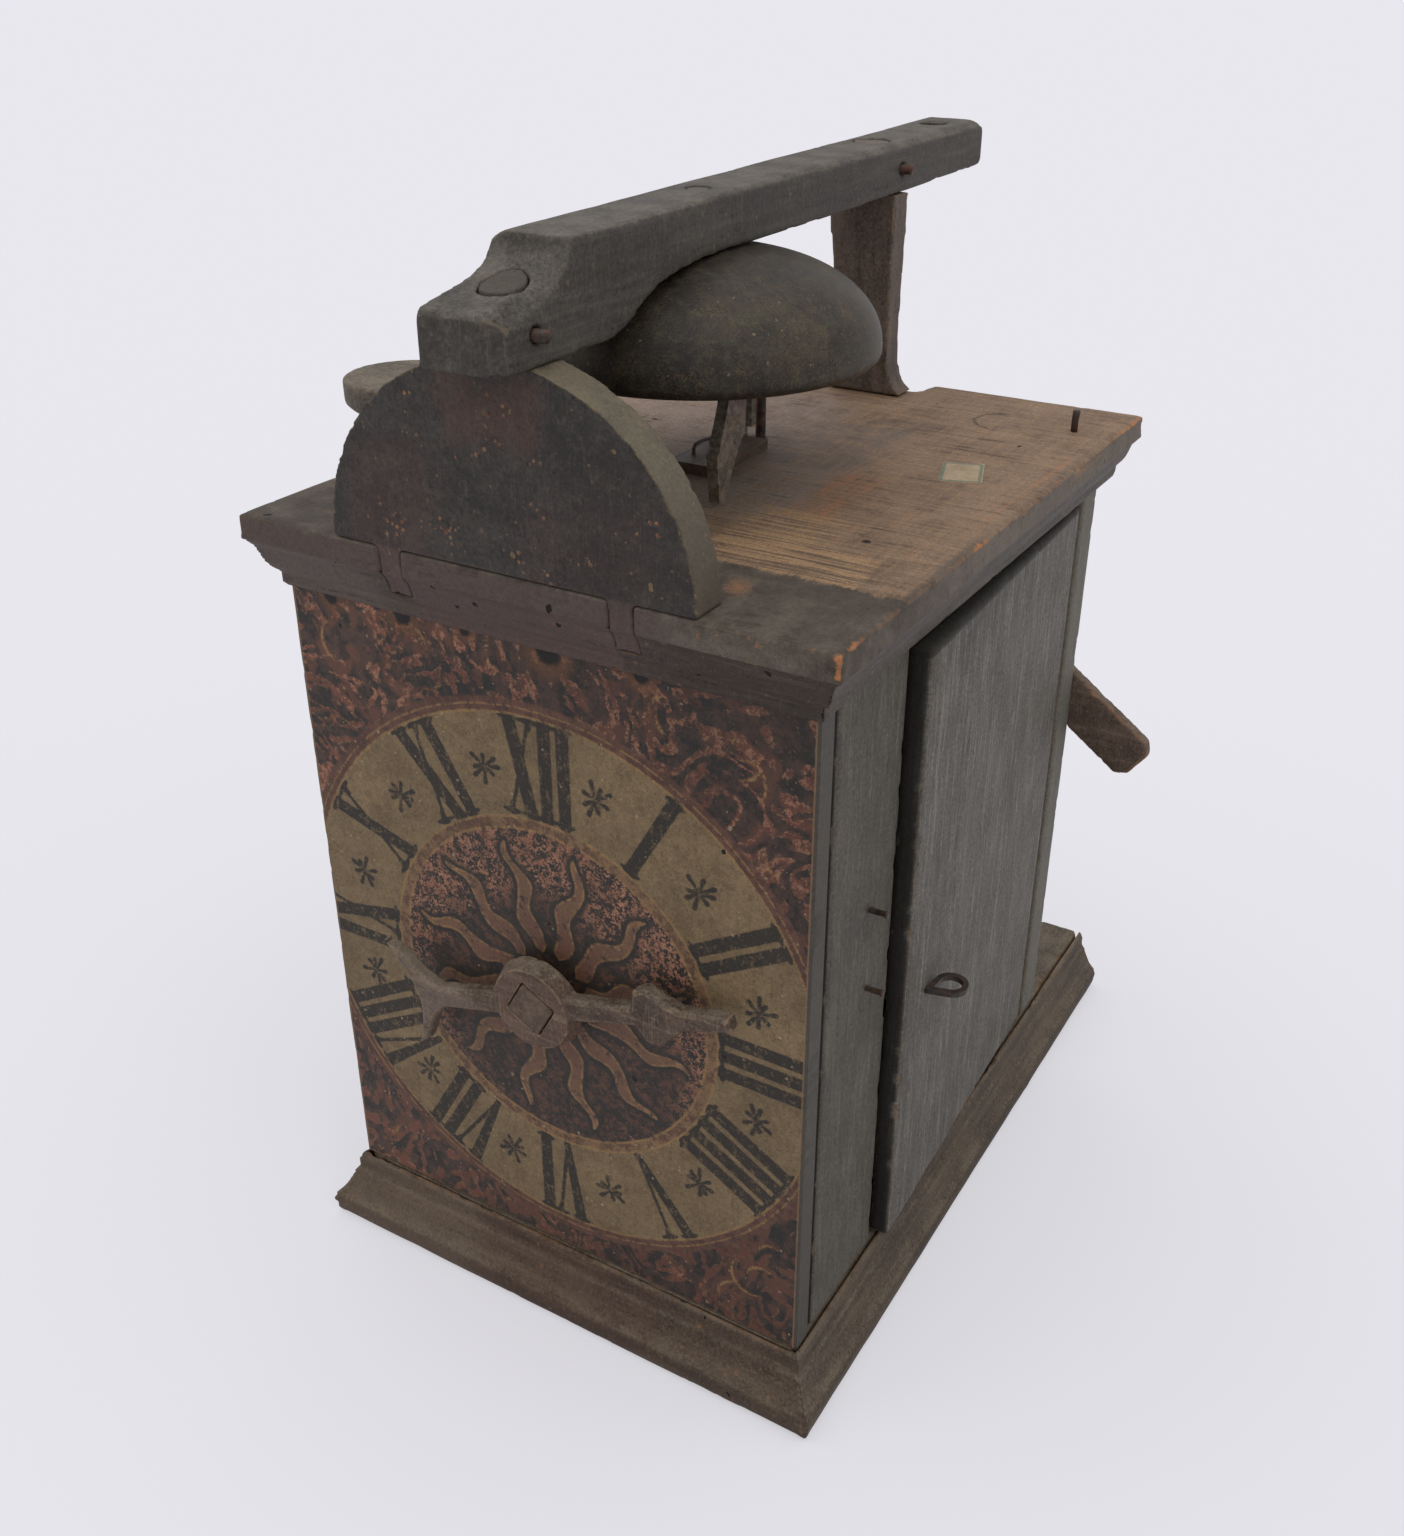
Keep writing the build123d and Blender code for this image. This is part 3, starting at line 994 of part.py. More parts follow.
with BuildPart() as hammer_check:
    with BuildSketch(at_y(CHECK_POST_Y[1])):
        Polygon(*CHECK_POST_OUTLINE, align=None)
    extrude(amount=CHECK_POST_Y[1] - CHECK_POST_Y[0])
pieces["hammer_check"] = hammer_check

# Paddle on its peg
with BuildPart() as paddle:
    with BuildSketch(Plane.XY.offset(PADDLE_Z[0])):
        with Locations(PADDLE_PEG, (PADDLE_END, PADDLE_PEG[1])):
            Circle(PADDLE_HALF)
        with Locations(((PADDLE_PEG[0] + PADDLE_END) / 2, PADDLE_PEG[1])):
            Rectangle(PADDLE_PEG[0] - PADDLE_END, 2 * PADDLE_HALF)
        with Locations(PADDLE_PEG):
            Circle(PEG_PIVOT_R + PIVOT_PLAY, mode=Mode.SUBTRACT)
    extrude(amount=PADDLE_Z[1] - PADDLE_Z[0])
    chamfer(paddle.faces().sort_by(Axis.Z)[0].outer_wire().edges(), PADDLE_CHAMFER)
pieces["paddle"] = paddle
with BuildPart() as paddle_peg:
    with BuildSketch(Plane.XY.offset(TOP_FACE)):
        with Locations(PADDLE_PEG):
            Circle(PEG_R)
    extrude(amount=PADDLE_Z[0] - TOP_FACE - JOINT_GAP)
    with BuildSketch(Plane.XY.offset(PADDLE_Z[0] - 1)):
        with Locations(PADDLE_PEG):
            Circle(PEG_PIVOT_R)
    extrude(amount=PADDLE_Z[1] - PADDLE_Z[0] + 1)
pieces["paddle_peg"] = paddle_peg

# Turn bar that holds the back board
with BuildPart() as turn_bar:
    with BuildSketch(at_y(TURN_Y[1])):
        with Locations(Location((TURN_PIVOT[0], TURN_PIVOT[1], 0), (0, 0, TURN_SLOPE))):
            Rectangle(2 * TURN_ARM, 2 * TURN_HALF_WIDTH)
        chamfer(vertices(), TURN_CORNER)
        with Locations(TURN_PIVOT):
            Circle(TURN_PEG_R + PIVOT_PLAY, mode=Mode.SUBTRACT)
    extrude(amount=TURN_Y[1] - TURN_Y[0])
pieces["turn_bar"] = turn_bar
with BuildPart() as turn_peg:
    add(rod(TURN_PIVOT, CASE_REAR, TURN_Y[1] + JOINT_GAP, TURN_PEG_R).part)
    add(rod(TURN_PIVOT, TURN_Y[1] + JOINT_GAP, TURN_Y[1] + JOINT_GAP + TURN_HEAD, TURN_HEAD_R).part)
pieces["turn_peg"] = turn_peg

os.makedirs("parts", exist_ok=True)
for name, made in pieces.items():
    made.part.label = name
    export_step(made.part, "parts/" + name + ".step")
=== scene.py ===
"""Dresses a wooden striking clock: painted dial, half-round crest, bell under a beam and hinged doors."""

import logging
import math
from dataclasses import dataclass, field
from enum import Enum
from typing import Sequence

import bmesh
import bpy
import numpy as np
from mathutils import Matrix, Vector


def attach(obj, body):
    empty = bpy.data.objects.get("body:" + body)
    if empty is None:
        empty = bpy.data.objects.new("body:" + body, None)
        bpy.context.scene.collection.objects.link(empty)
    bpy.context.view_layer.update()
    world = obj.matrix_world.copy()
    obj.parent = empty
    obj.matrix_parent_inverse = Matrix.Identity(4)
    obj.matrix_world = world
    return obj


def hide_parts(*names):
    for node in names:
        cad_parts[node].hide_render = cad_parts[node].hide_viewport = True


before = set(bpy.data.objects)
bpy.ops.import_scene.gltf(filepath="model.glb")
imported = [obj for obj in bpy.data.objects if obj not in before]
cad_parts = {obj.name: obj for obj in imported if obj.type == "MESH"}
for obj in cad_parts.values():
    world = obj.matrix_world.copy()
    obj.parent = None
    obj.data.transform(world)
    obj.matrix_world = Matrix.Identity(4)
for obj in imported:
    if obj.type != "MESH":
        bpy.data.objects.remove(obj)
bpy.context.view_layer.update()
MM = 0.001
FAR = 999.0  # further off than any part of the clock, in millimetres
LONG = 900.0  # a stain isn't limited along a side that is longer than this
OUTSIDE = 9.0  # a distance that counts as outside every painted figure
Colour = tuple[float, float, float]
Point = tuple[float, float, float]
log = logging.getLogger("clock")


def paint(red: float, green: float, blue: float) -> Colour:
    """Turns a colour seen on a screen, 0 to 255, into the linear colour that a shader takes.

    Args:
        red: The red part as it is seen.
        green: The green part.
        blue: The blue part.

    Returns:
        The three linear parts, from 0 to 1.
    """
    return tuple(
        c / 12.92 if c <= 0.04045 else ((c + 0.055) / 1.055) ** 2.4
        for c in (red / 255, green / 255, blue / 255)
    )


def lattice(points: np.ndarray, size: float, seed: int) -> np.ndarray:
    """Smooth value noise.

    Args:
        points: Places in millimetres, one row each.
        size: Distance between the noise's knots, in millimetres.
        seed: Picks one noise out of many.

    Returns:
        One number from 0 to 1 for each place.
    """
    cell = points / size
    base = np.floor(cell).astype(np.int64)
    part = cell - base
    part = part * part * (3 - 2 * part)
    total = np.zeros(len(points))
    for corner in range(8):
        step = np.array([corner & 1, corner >> 1 & 1, corner >> 2 & 1])
        at = base + step
        mixed = (at[:, 0] * 73856093) ^ (at[:, 1] * 19349663) ^ (at[:, 2] * 83492791) ^ (seed * 26544357)
        mixed = ((mixed ^ (mixed >> 13)) * 1274126177) & 0xFFFFFFFF
        value = ((mixed ^ (mixed >> 15)) & 0xFFFF) / 65535
        total += value * np.prod(np.where(step == 1, part, 1 - part), axis=1)
    return total


def ramp(value: np.ndarray, low: float, high: float) -> np.ndarray:
    """A smooth step from 0 at low to 1 at high."""
    part = np.clip((value - low) / (high - low), 0, 1)
    return part * part * (3 - 2 * part)


class Grain(Enum):
    """Which way a board's grain runs, as the factors that stretch a noise along it."""

    ALONG_X = (0.06, 1.0, 1.0)
    ALONG_Y = (1.0, 0.06, 1.0)
    ALONG_Z = (1.0, 1.0, 0.06)
    NONE = (1.0, 1.0, 1.0)


class Wire:
    """A shader socket that takes part in Python expressions."""

    def __init__(self, tree: "NodeTree", socket: "bpy.types.NodeSocket | None") -> None:
        """Keeps the socket and the node tree that it belongs to."""
        self.tree = tree
        self.socket = socket

    def __add__(self, other: "Wire | float") -> "Wire":
        """Adds."""
        return self.tree.maths("ADD", self, other)

    def __radd__(self, other: "Wire | float") -> "Wire":
        """Adds to a plain number."""
        return self.tree.maths("ADD", other, self)

    def __sub__(self, other: "Wire | float") -> "Wire":
        """Takes away."""
        return self.tree.maths("SUBTRACT", self, other)

    def __rsub__(self, other: "Wire | float") -> "Wire":
        """Takes this away from a plain number."""
        return self.tree.maths("SUBTRACT", other, self)

    def __mul__(self, other: "Wire | float") -> "Wire":
        """Multiplies."""
        return self.tree.maths("MULTIPLY", self, other)

    def __rmul__(self, other: "Wire | float") -> "Wire":
        """Multiplies a plain number."""
        return self.tree.maths("MULTIPLY", other, self)

    def __abs__(self) -> "Wire":
        """Drops the sign."""
        return self.tree.maths("ABSOLUTE", self)

    def __lt__(self, other: "Wire | float") -> "Wire":
        """1 where this is the smaller."""
        return self.tree.maths("LESS_THAN", self, other)

    def least(self, other: "Wire | float") -> "Wire":
        """The smaller of the two."""
        return self.tree.maths("MINIMUM", self, other)

    def most(self, other: "Wire | float") -> "Wire":
        """The greater of the two."""
        return self.tree.maths("MAXIMUM", self, other)

    def step(self, low: float, high: float) -> "Wire":
        """A smooth step from 0 at low to 1 at high."""
        return self.tree.node(
            "ShaderNodeMapRange",
            {"interpolation_type": "SMOOTHSTEP"},
            {"Value": self, "From Min": low, "From Max": high},
        )

    def part(self, name: str) -> "Wire":
        """One of a vector's numbers, named X, Y or Z."""
        return self.tree.node("ShaderNodeSeparateXYZ", {}, {"Vector": self}, name)


class NodeTree:
    """Adds nodes to the tree of a material or of the world."""

    def __init__(self, tree: bpy.types.NodeTree) -> None:
        """Empties the tree."""
        self.tree = tree
        self.tree.nodes.clear()

    def node(self, kind: str, settings: dict, inputs: dict, output: "str | int" = 0) -> Wire:
        """Adds any node.

        Args:
            kind: The node's type.
            settings: Its own settings, which are set first.
            inputs: A value or a Wire for each input socket, by name or number.
            output: The output that is wanted, by name or number.

        Returns:
            The wanted output, or an empty Wire from a node that has none.
        """
        made = self.tree.nodes.new(kind)
        for key, value in settings.items():
            setattr(made, key, value)
        for key, value in inputs.items():
            if isinstance(value, Wire):
                self.tree.links.new(value.socket, made.inputs[key])
            elif made.inputs[key].type == "RGBA":
                made.inputs[key].default_value = (*value, 1.0)
            else:
                made.inputs[key].default_value = value
        return Wire(self, made.outputs[output] if len(made.outputs) else None)

    def maths(self, operation: str, *terms: "Wire | float") -> Wire:
        """Adds a Math node, or a Vector Math node where a term is a vector.

        Args:
            operation: The node's operation.
            terms: A value or a Wire for each of its sockets, in order.

        Returns:
            The result.
        """
        vector = any(isinstance(t, Wire) and t.socket.type in ("VECTOR", "RGBA") for t in terms)
        kind = "ShaderNodeVectorMath" if vector else "ShaderNodeMath"
        inputs = {}
        for index, term in enumerate(terms):
            plain = not isinstance(term, (Wire, tuple))
            inputs[index] = (term,) * 3 if vector and plain else term
        return self.node(kind, {"operation": operation}, inputs)


class Shader(NodeTree):
    """Builds one procedural material, node by node, in millimetres of the object's own frame."""

    def __init__(self, name: str) -> None:
        """Starts an empty material."""
        self.material = bpy.data.materials.new(name)
        self.material.use_nodes = True
        super().__init__(self.material.node_tree)
        here = self.node("ShaderNodeTexCoord", {}, {}, "Object")
        self.place = here * (1 / MM)

    def noise(
        self,
        size: float,
        detail: float = 4.0,
        rough: float = 0.55,
        stretch: Point = (1.0, 1.0, 1.0),
        shift: float = 0.0,
        warp: float = 0.0,
    ) -> Wire:
        """Fractal noise with features of a size in millimetres.

        Args:
            size: The features' size.
            detail: How many finer layers it has.
            rough: How strong the finer layers are.
            stretch: The factor on each axis before the noise is read.
            shift: Moves the pattern.
            warp: How far the pattern is distorted.

        Returns:
            A number from 0 to 1.
        """
        where = self.place * stretch + (shift * 31.0, shift * 17.0, shift * 23.0)
        shape = {"Scale": 1 / size, "Detail": detail, "Roughness": rough, "Distortion": warp}
        return self.node("ShaderNodeTexNoise", {}, {"Vector": where, **shape})

    def specks(self, size: float, share: float, radius: float, shift: float = 0.0) -> Wire:
        """Round specks, one in some of the cells of a grid.

        Args:
            size: The cells' size in millimetres.
            share: The share of cells that hold a speck.
            radius: The speck's radius as a part of the cell.
            shift: Moves the pattern.

        Returns:
            1 inside a speck and 0 outside.
        """
        where = {"Vector": self.place + (shift * 13.0, shift * 29.0, shift * 7.0), "Scale": 1 / size}
        cells = self.node("ShaderNodeTexVoronoi", {}, where, "Distance")
        colour = Wire(self, cells.socket.node.outputs["Color"])
        chosen = self.node("ShaderNodeSeparateColor", {}, {"Color": colour}, "Red")
        lobed = cells + (self.noise(size * 0.35, 2.0, shift=shift) - 0.5) * 0.5
        return lobed.step(radius, radius * 0.7) * (chosen < share)

    def attribute(self, name: str) -> Wire:
        """A number stored on the mesh's points."""
        return self.node("ShaderNodeAttribute", {"attribute_name": name}, {}, "Fac")

    def facing_up(self) -> Wire:
        """How far the surface faces upward, from -1 to 1."""
        return self.node("ShaderNodeNewGeometry", {}, {}, "Normal").part("Z")

    def mix(self, factor: "Wire | float", first: "Wire | Colour", second: "Wire | Colour") -> Wire:
        """Mixes two colours; the numbers are the Mix node's colour sockets."""
        return self.node("ShaderNodeMix", {"data_type": "RGBA"}, {0: factor, 6: first, 7: second}, 2)

    def gritty(self, colour: Wire, amount: float, size: float = 0.7) -> Wire:
        """The colour with a fine grit that lightens and darkens it by a share either way.

        Args:
            colour: The plain colour.
            amount: The largest share.
            size: The finer grit's size in millimetres.

        Returns:
            The gritty colour.
        """
        coarse = self.noise(size * 3.1, 3.0, 0.7, shift=43.0)
        grit = self.noise(size, 3.0, 0.7, shift=41.0) * 0.6 + coarse * 0.4
        return colour * ((grit.step(0.3, 0.7) - 0.5) * (2 * amount) + 1.0)

    def bump(self, height: Wire, depth: float) -> Wire:
        """A bump of a depth in millimetres."""
        inputs = {"Strength": 1.0, "Distance": depth * MM, "Height": height}
        return self.node("ShaderNodeBump", {}, inputs)

    def close(
        self,
        colour: Wire,
        roughness: Wire,
        normal: Wire,
        metallic: float = 0.0,
        specular: float = 0.2,
    ) -> bpy.types.Material:
        """Ends the material in one Principled shader.

        Args:
            colour: The base colour.
            roughness: The roughness.
            normal: A bump.
            metallic: How much of a metal it is.
            specular: The strength of plain reflections.

        Returns:
            The finished material.
        """
        links = {"Base Color": colour, "Roughness": roughness, "Normal": normal}
        plain = {"Metallic": metallic, "Specular IOR Level": specular}
        surface = self.node("ShaderNodeBsdfPrincipled", {}, {**links, **plain})
        self.node("ShaderNodeOutputMaterial", {}, {"Surface": surface})
        return self.material


@dataclass(frozen=True)
class Stain:
    """A soft-edged patch of another colour, in a box given in millimetres."""

    low: Point
    high: Point
    colour: Colour
    strength: float = 0.8
    soft: float = 5.0
    ragged: float = 8.0
    over: bool = False

    def mask(self, shader: Shader) -> Wire:
        """1 inside the patch, with a ragged border.

        Args:
            shader: The material that the patch is part of.

        Returns:
            The mask, times the patch's strength.
        """
        moved = shader.noise(14.0, 5.0, 0.6, shift=self.low[0] * 0.1) - 0.5
        total: "Wire | None" = None
        for name, low, high in zip("XYZ", self.low, self.high):
            if high - low > LONG:
                continue
            middle, half = (low + high) / 2, (high - low) / 2
            away = abs(shader.place.part(name) - middle) + moved * self.ragged * 2
            inside = away.step(half + self.soft, half - self.soft)
            total = inside if total is None else total * inside
        return total * self.strength


@dataclass(frozen=True)
class Ring:
    """A ring-shaped mark round a line along one axis, in millimetres.

    The centre is given in the other two axes.
    """

    axis: str
    centre: tuple[float, float]
    radius: float
    half: float
    colour: Colour
    strength: float = 0.8
    ragged: float = 1.0

    def mask(self, shader: Shader) -> Wire:
        """1 on the ring; one round an upright line marks only faces that look up.

        Args:
            shader: The material that the ring is part of.

        Returns:
            The mask, times the ring's strength.
        """
        first, second = (name for name in "XYZ" if name != self.axis)
        a = shader.place.part(first) - self.centre[0]
        b = shader.place.part(second) - self.centre[1]
        uneven = (shader.noise(2.4, 3.0, 0.6, shift=37.0) - 0.5) * self.ragged
        away = abs(shader.maths("SQRT", a * a + b * b) + uneven - self.radius)
        inside = away.step(self.half, self.half * 0.4) * self.strength
        return inside * shader.facing_up().step(0.2, 0.4) if self.axis == "Z" else inside


@dataclass(frozen=True)
class PaintedWood:
    """Old oil paint on wood: two tones, grain, scuffs, dust, chips and worm holes."""

    name: str
    coat: Colour
    shade: Colour
    scuff: Colour
    ground: Colour
    grain: Grain = Grain.ALONG_Z
    hairs: Grain = Grain.ALONG_Z
    contrast: float = 0.75
    streaky: float = 0.3
    patch: float = 45.0
    scuffs: float = 0.5
    worn: float = 0.7
    dust: Colour = paint(150, 138, 120)
    dusting: float = 0.25
    specks: float = 0.10
    holes: float = 0.0
    rough: float = 0.62
    relief: float = 0.30
    stains: tuple[Stain, ...] = ()
    rings: tuple[Ring, ...] = ()
    grit: float = 0.22
    flaking: float = 0.0

    def material(self) -> bpy.types.Material:
        """Builds the material.

        Returns:
            The finished material.
        """
        s = Shader(self.name)
        along = self.grain.value
        fibre = s.noise(2.4, 6.0, 0.68, stretch=along)
        streak = s.noise(8.0, 6.0, 0.62, stretch=along, shift=3.0)
        cloud = s.noise(self.patch, 5.0, 0.6, shift=7.0)
        fine = s.noise(1.3, 3.0, 0.6, shift=11.0)
        tone = (cloud * 0.4 + streak * self.streaky + fine * (0.6 - self.streaky)).step(0.4, 0.6)
        colour = s.mix(tone * self.contrast + (1 - self.contrast) * 0.6, self.shade, self.coat)
        for stain in (stain for stain in self.stains if not stain.over):
            colour = s.mix(stain.mask(s), colour, stain.colour)
        rubbed = (streak * self.streaky * 1.6 + fibre * (1 - self.streaky * 1.6)).step(0.5, 0.66)
        rubbed = rubbed * (cloud * 0.5 + 0.25)
        colour = s.mix(rubbed * self.scuffs, colour, self.scuff)
        hair = s.noise(0.9, 3.0, 0.6, stretch=self.hairs.value, shift=27.0)
        colour = s.mix(hair.step(0.55, 0.68) * self.scuffs * 0.5, colour, self.scuff)
        lint = (fine * fibre).step(0.27, 0.42) * self.scuffs * 0.5
        colour = s.mix(lint, colour, self.scuff)
        colour = s.mix((fibre * 0.6 + fine * 0.4).step(0.46, 0.34) * 0.45, colour, paint(20, 18, 16))
        edge = s.attribute("wear")
        bare = (edge + s.noise(5.0, 5.0, 0.65, shift=19.0) * 1.3 - 1.0).step(0.0, 0.35) * self.worn
        colour = s.mix(bare, colour, self.ground)
        chip = s.attribute("chip").step(0.35, 0.7)
        colour = s.mix(chip * 0.85, colour, self.ground)
        flake = s.specks(4.2, self.specks, 0.26, 2.0).most(s.specks(1.9, self.specks, 0.3, 5.0) * 0.8)
        colour = s.mix(flake * 0.6, colour, self.ground)
        if self.flaking:
            flaked = s.specks(2.2, 0.6, 0.42, 14.0) * s.noise(15.0, 3.0, 0.6, shift=57.0).step(0.57, 0.63)
            under = s.mix(fine.step(0.4, 0.6), paint(108, 66, 48), paint(142, 112, 80))
            colour = s.mix(flaked * self.flaking, colour, under)
        drift = (s.noise(16.0, 6.0, 0.65, shift=23.0) + fine * 0.4).step(0.5, 0.85)
        settled = s.facing_up().step(0.25, 0.9) * drift
        colour = s.mix(settled * self.dusting, colour, self.dust)
        for stain in (stain for stain in self.stains if stain.over):
            colour = s.mix(stain.mask(s), colour, stain.colour)
        colour = s.gritty(colour, self.grit)
        for ring in self.rings:
            colour = s.mix(ring.mask(s), colour, ring.colour)
        hole = s.specks(9.0, self.holes, 0.11, 9.0)
        colour = s.mix(hole, colour, paint(16, 13, 11))
        rough = cloud * 0.16 + fine * 0.14 + bare * 0.2 + settled * 0.15 + (self.rough - 0.14)
        rough = rough.least(0.95)
        height = fibre * 0.5 + fine * 0.25 + streak * 0.35 - flake * 0.35 - bare * 0.3 - hole * 2.5
        return s.close(colour, rough, s.bump(height, self.relief))


@dataclass(frozen=True)
class BareWood:
    """Bare or oiled wood with growth lines."""

    name: str
    light: Colour
    dark: Colour
    grain: Grain = Grain.ALONG_X
    line: float = 2.6
    dirt: Colour = paint(52, 42, 34)
    dirty: float = 0.5
    rough: float = 0.6
    relief: float = 0.22

    def material(self) -> bpy.types.Material:
        """Builds the material.

        Returns:
            The finished material.
        """
        s = Shader(self.name)
        along = self.grain.value
        lines = s.noise(self.line, 5.0, 0.6, stretch=along, warp=0.4)
        board = s.noise(22.0, 4.0, 0.55, stretch=along, shift=4.0)
        fine = s.noise(1.1, 3.0, 0.6, shift=11.0)
        colour = s.mix((lines * 0.6 + board * 0.4).step(0.36, 0.64), self.dark, self.light)
        grime = (s.noise(24.0, 6.0, 0.65, shift=6.0) * 0.7 + fine * 0.3).step(0.42, 0.66)
        colour = s.mix(grime * self.dirty, colour, self.dirt)
        edge = s.attribute("wear")
        colour = s.mix(edge.step(0.35, 1.0) * 0.35, colour, self.light)
        colour = s.mix(s.attribute("chip").step(0.35, 0.7) * 0.5, colour, self.light)
        rough = fine * 0.2 + grime * 0.15 + (self.rough - 0.16)
        return s.close(colour, rough, s.bump(lines * 0.7 + fine * 0.3, self.relief))


@dataclass(frozen=True)
class TopBoardWood:
    """The top board: worn tan wood with a dark margin, scratches both ways and orange chips."""

    name: str = "top_wood_aged"
    tan: Colour = paint(136, 112, 92)
    deep: Colour = paint(98, 80, 65)
    bright: Colour = paint(162, 130, 96)
    margin: Colour = paint(94, 85, 75)
    slate: Colour = paint(134, 117, 104)
    pale: Colour = paint(138, 122, 112)
    painted_shade: Colour = paint(92, 80, 71)
    # colour of the painted shade on the top board under the back of the bell
    orange: Colour = paint(162, 108, 70)

    def material(self) -> bpy.types.Material:
        """Builds the material.

        Returns:
            The finished material.
        """
        s = Shader(self.name)
        across, deep = s.place.part("X"), s.place.part("Y")
        lines = s.noise(2.0, 6.0, 0.65, stretch=Grain.ALONG_X.value)
        ribs = s.noise(1.9, 4.0, 0.6, stretch=(0.025, 1.0, 1.0), shift=5.0)
        cross = s.noise(1.5, 4.0, 0.6, stretch=(1.0, 0.04, 1.0), shift=9.0)
        cloud = s.noise(46.0, 6.0, 0.6, shift=2.0)
        mottle = s.noise(11.0, 6.0, 0.68, shift=8.0)
        fine = s.noise(1.0, 3.0, 0.6, shift=11.0)
        colour = s.mix((lines * 0.4 + cloud * 0.3 + mottle * 0.3).step(0.38, 0.6), self.deep, self.tan)
        grid = (ribs * 0.3 + cross * 0.3 + fine * 0.4).step(0.46, 0.56)
        colour = s.mix(grid * 0.35, colour, self.bright)
        colour = s.mix((fine * 0.7 + ribs * 0.3).step(0.46, 0.36) * 0.4, colour, self.deep)
        dusty = Stain((-132.0, -20.0, -FAR), (8.0, 250.0, FAR), self.pale, 0.75, 14.0, 12.0).mask(s)
        colour = s.mix(dusty * (mottle * 0.6 + fine * 0.4).step(0.36, 0.56), colour, self.pale)
        slate = Stain((4.0, 84.0, -FAR), (50.0, 214.0, FAR), self.slate, 0.95, 8.0, 13.0).mask(s)
        colour = s.mix(slate * (mottle * 0.5 + cross * 0.5).step(0.62, 0.42), colour, self.slate)
        # painted shade under the back of the bell and the beam, mottled and darker to the right
        painted_shade = Stain((-40.0, 150.0, -FAR), (52.0, 232.0, FAR), self.painted_shade, 0.6, 6.0, 14.0).mask(s)
        painted_shade = painted_shade * (mottle * 0.6 + cross * 0.4).step(0.66, 0.4) * across.step(-60.0, 30.0)
        colour = s.mix(painted_shade, colour, self.painted_shade)
        feather = Stain((50.0, 92.0, -FAR), (66.0, 150.0, FAR), self.orange, 0.6, 5.0, 8.0).mask(s)
        colour = s.mix(feather * cross.step(0.46, 0.56), colour, self.orange)
        hatched = Stain((40.0, 39.0, -FAR), (104.0, 70.0, FAR), self.bright, 1.0, 3.0, 7.0).mask(s)
        patch = Stain((40.0, 62.0, -FAR), (76.0, 98.0, FAR), self.bright, 0.9, 4.0, 9.0).mask(s)
        hatched = hatched.most(patch)
        colour = s.mix(hatched * (ribs * 0.85 + fine * 0.15).step(0.47, 0.53) * 0.8, colour, self.bright)
        colour = s.mix(hatched * (ribs * 0.85 + fine * 0.15).step(0.49, 0.42) * 0.8, colour, self.deep)
        edge = s.attribute("wear")
        skin = (deep + (mottle - 0.5) * 9.0 + (cross - 0.5) * 9.0 + (fine - 0.5) * 4.0).step(40.5, 36.5)
        rim = (across + (mottle - 0.5) * 9.0).step(121.0, 125.0) * deep.step(260.0, 200.0)
        skin = skin.most(rim * (deep.step(110.0, 80.0) * 0.45 + 0.4))
        side = s.facing_up().step(0.6, 0.3)
        skin = skin.most(side)
        coat = s.mix((mottle * 0.6 + cloud * 0.4).step(0.4, 0.62), paint(72, 64, 56), self.margin)
        coat = s.mix(side * across.step(72.0, 50.0) * 0.9, coat, paint(80, 67, 62))
        rubbed = side * deep.step(20.0, 110.0) * across.step(100.0, 120.0) * 0.5
        coat = s.mix(rubbed, coat, paint(108, 97, 86))
        colour = s.mix(skin, colour, coat)
        scratches = s.noise(3.6, 3.0, 0.5, stretch=(1.0, 0.02, 1.0), shift=17.0).step(0.66, 0.69)
        scratches = scratches * across.step(66.0, 76.0) * cloud.step(0.46, 0.56)
        colour = s.mix(scratches * 0.35, colour, self.orange)
        colour = s.mix((fine * 0.6 + mottle * 0.4).step(0.6, 0.7) * skin * 0.4, colour, self.tan)
        foot = self._away(s, (70.0, 20.0)).step(11.0, 2.0) * mottle.step(0.45, 0.6)
        colour = s.mix(foot * 0.45, colour, self.orange)
        colour = s.mix((mottle * 0.5 + lines * 0.5).step(0.45, 0.38) * 0.45, colour, paint(54, 44, 36))
        bare = (edge + s.noise(6.0, 5.0, 0.65, shift=14.0) * 1.4 - 1.12).step(0.0, 0.25)
        knocked = deep.step(8.0, -4.0).most(abs(deep - 97.0).step(14.0, 6.0))
        knocked = knocked.most(deep.step(254.0, 264.0))
        raw = across.step(100.0, 120.0) * (knocked * 0.75 + 0.12) + 0.06
        colour = s.mix(bare * raw, colour, self.orange)
        colour = s.mix(s.attribute("chip").step(0.3, 0.6) * raw, colour, self.orange)
        knot = self._near(s, (90.0, 82.0), 2.2)
        colour = s.mix(knot, colour, paint(26, 20, 16))
        ring = abs(self._away(s, (76.0, 252.0)) - 13.0).step(0.9, 0.3) * (across < 74.0)
        colour = s.mix(ring * 0.55, colour, paint(52, 40, 32))
        worm = s.specks(11.0, 0.22, 0.08, 3.0)
        colour = s.mix(worm, colour, paint(24, 18, 14))
        colour = s.gritty(colour, 0.26)
        height = lines * 0.3 + ribs * (hatched * 0.6 + 0.25) + cross * 0.25 + fine * 0.2
        height = height - worm * 2.0 - ring - knot
        rough = fine * 0.2 + mottle * 0.15 + 0.5
        return s.close(colour, rough, s.bump(height, 0.4))

    @staticmethod
    def _away(s: Shader, centre: tuple[float, float]) -> Wire:
        """The distance from an upright line, in millimetres, on a slightly uneven surface."""
        x, y = s.place.part("X") - centre[0], s.place.part("Y") - centre[1]
        return s.maths("SQRT", x * x + y * y) + (s.noise(4.0, 2.0) - 0.5) * 2.0

    def _near(self, s: Shader, centre: tuple[float, float], reach: float) -> Wire:
        """1 inside a small spot."""
        return self._away(s, centre).step(reach, reach * 0.5)


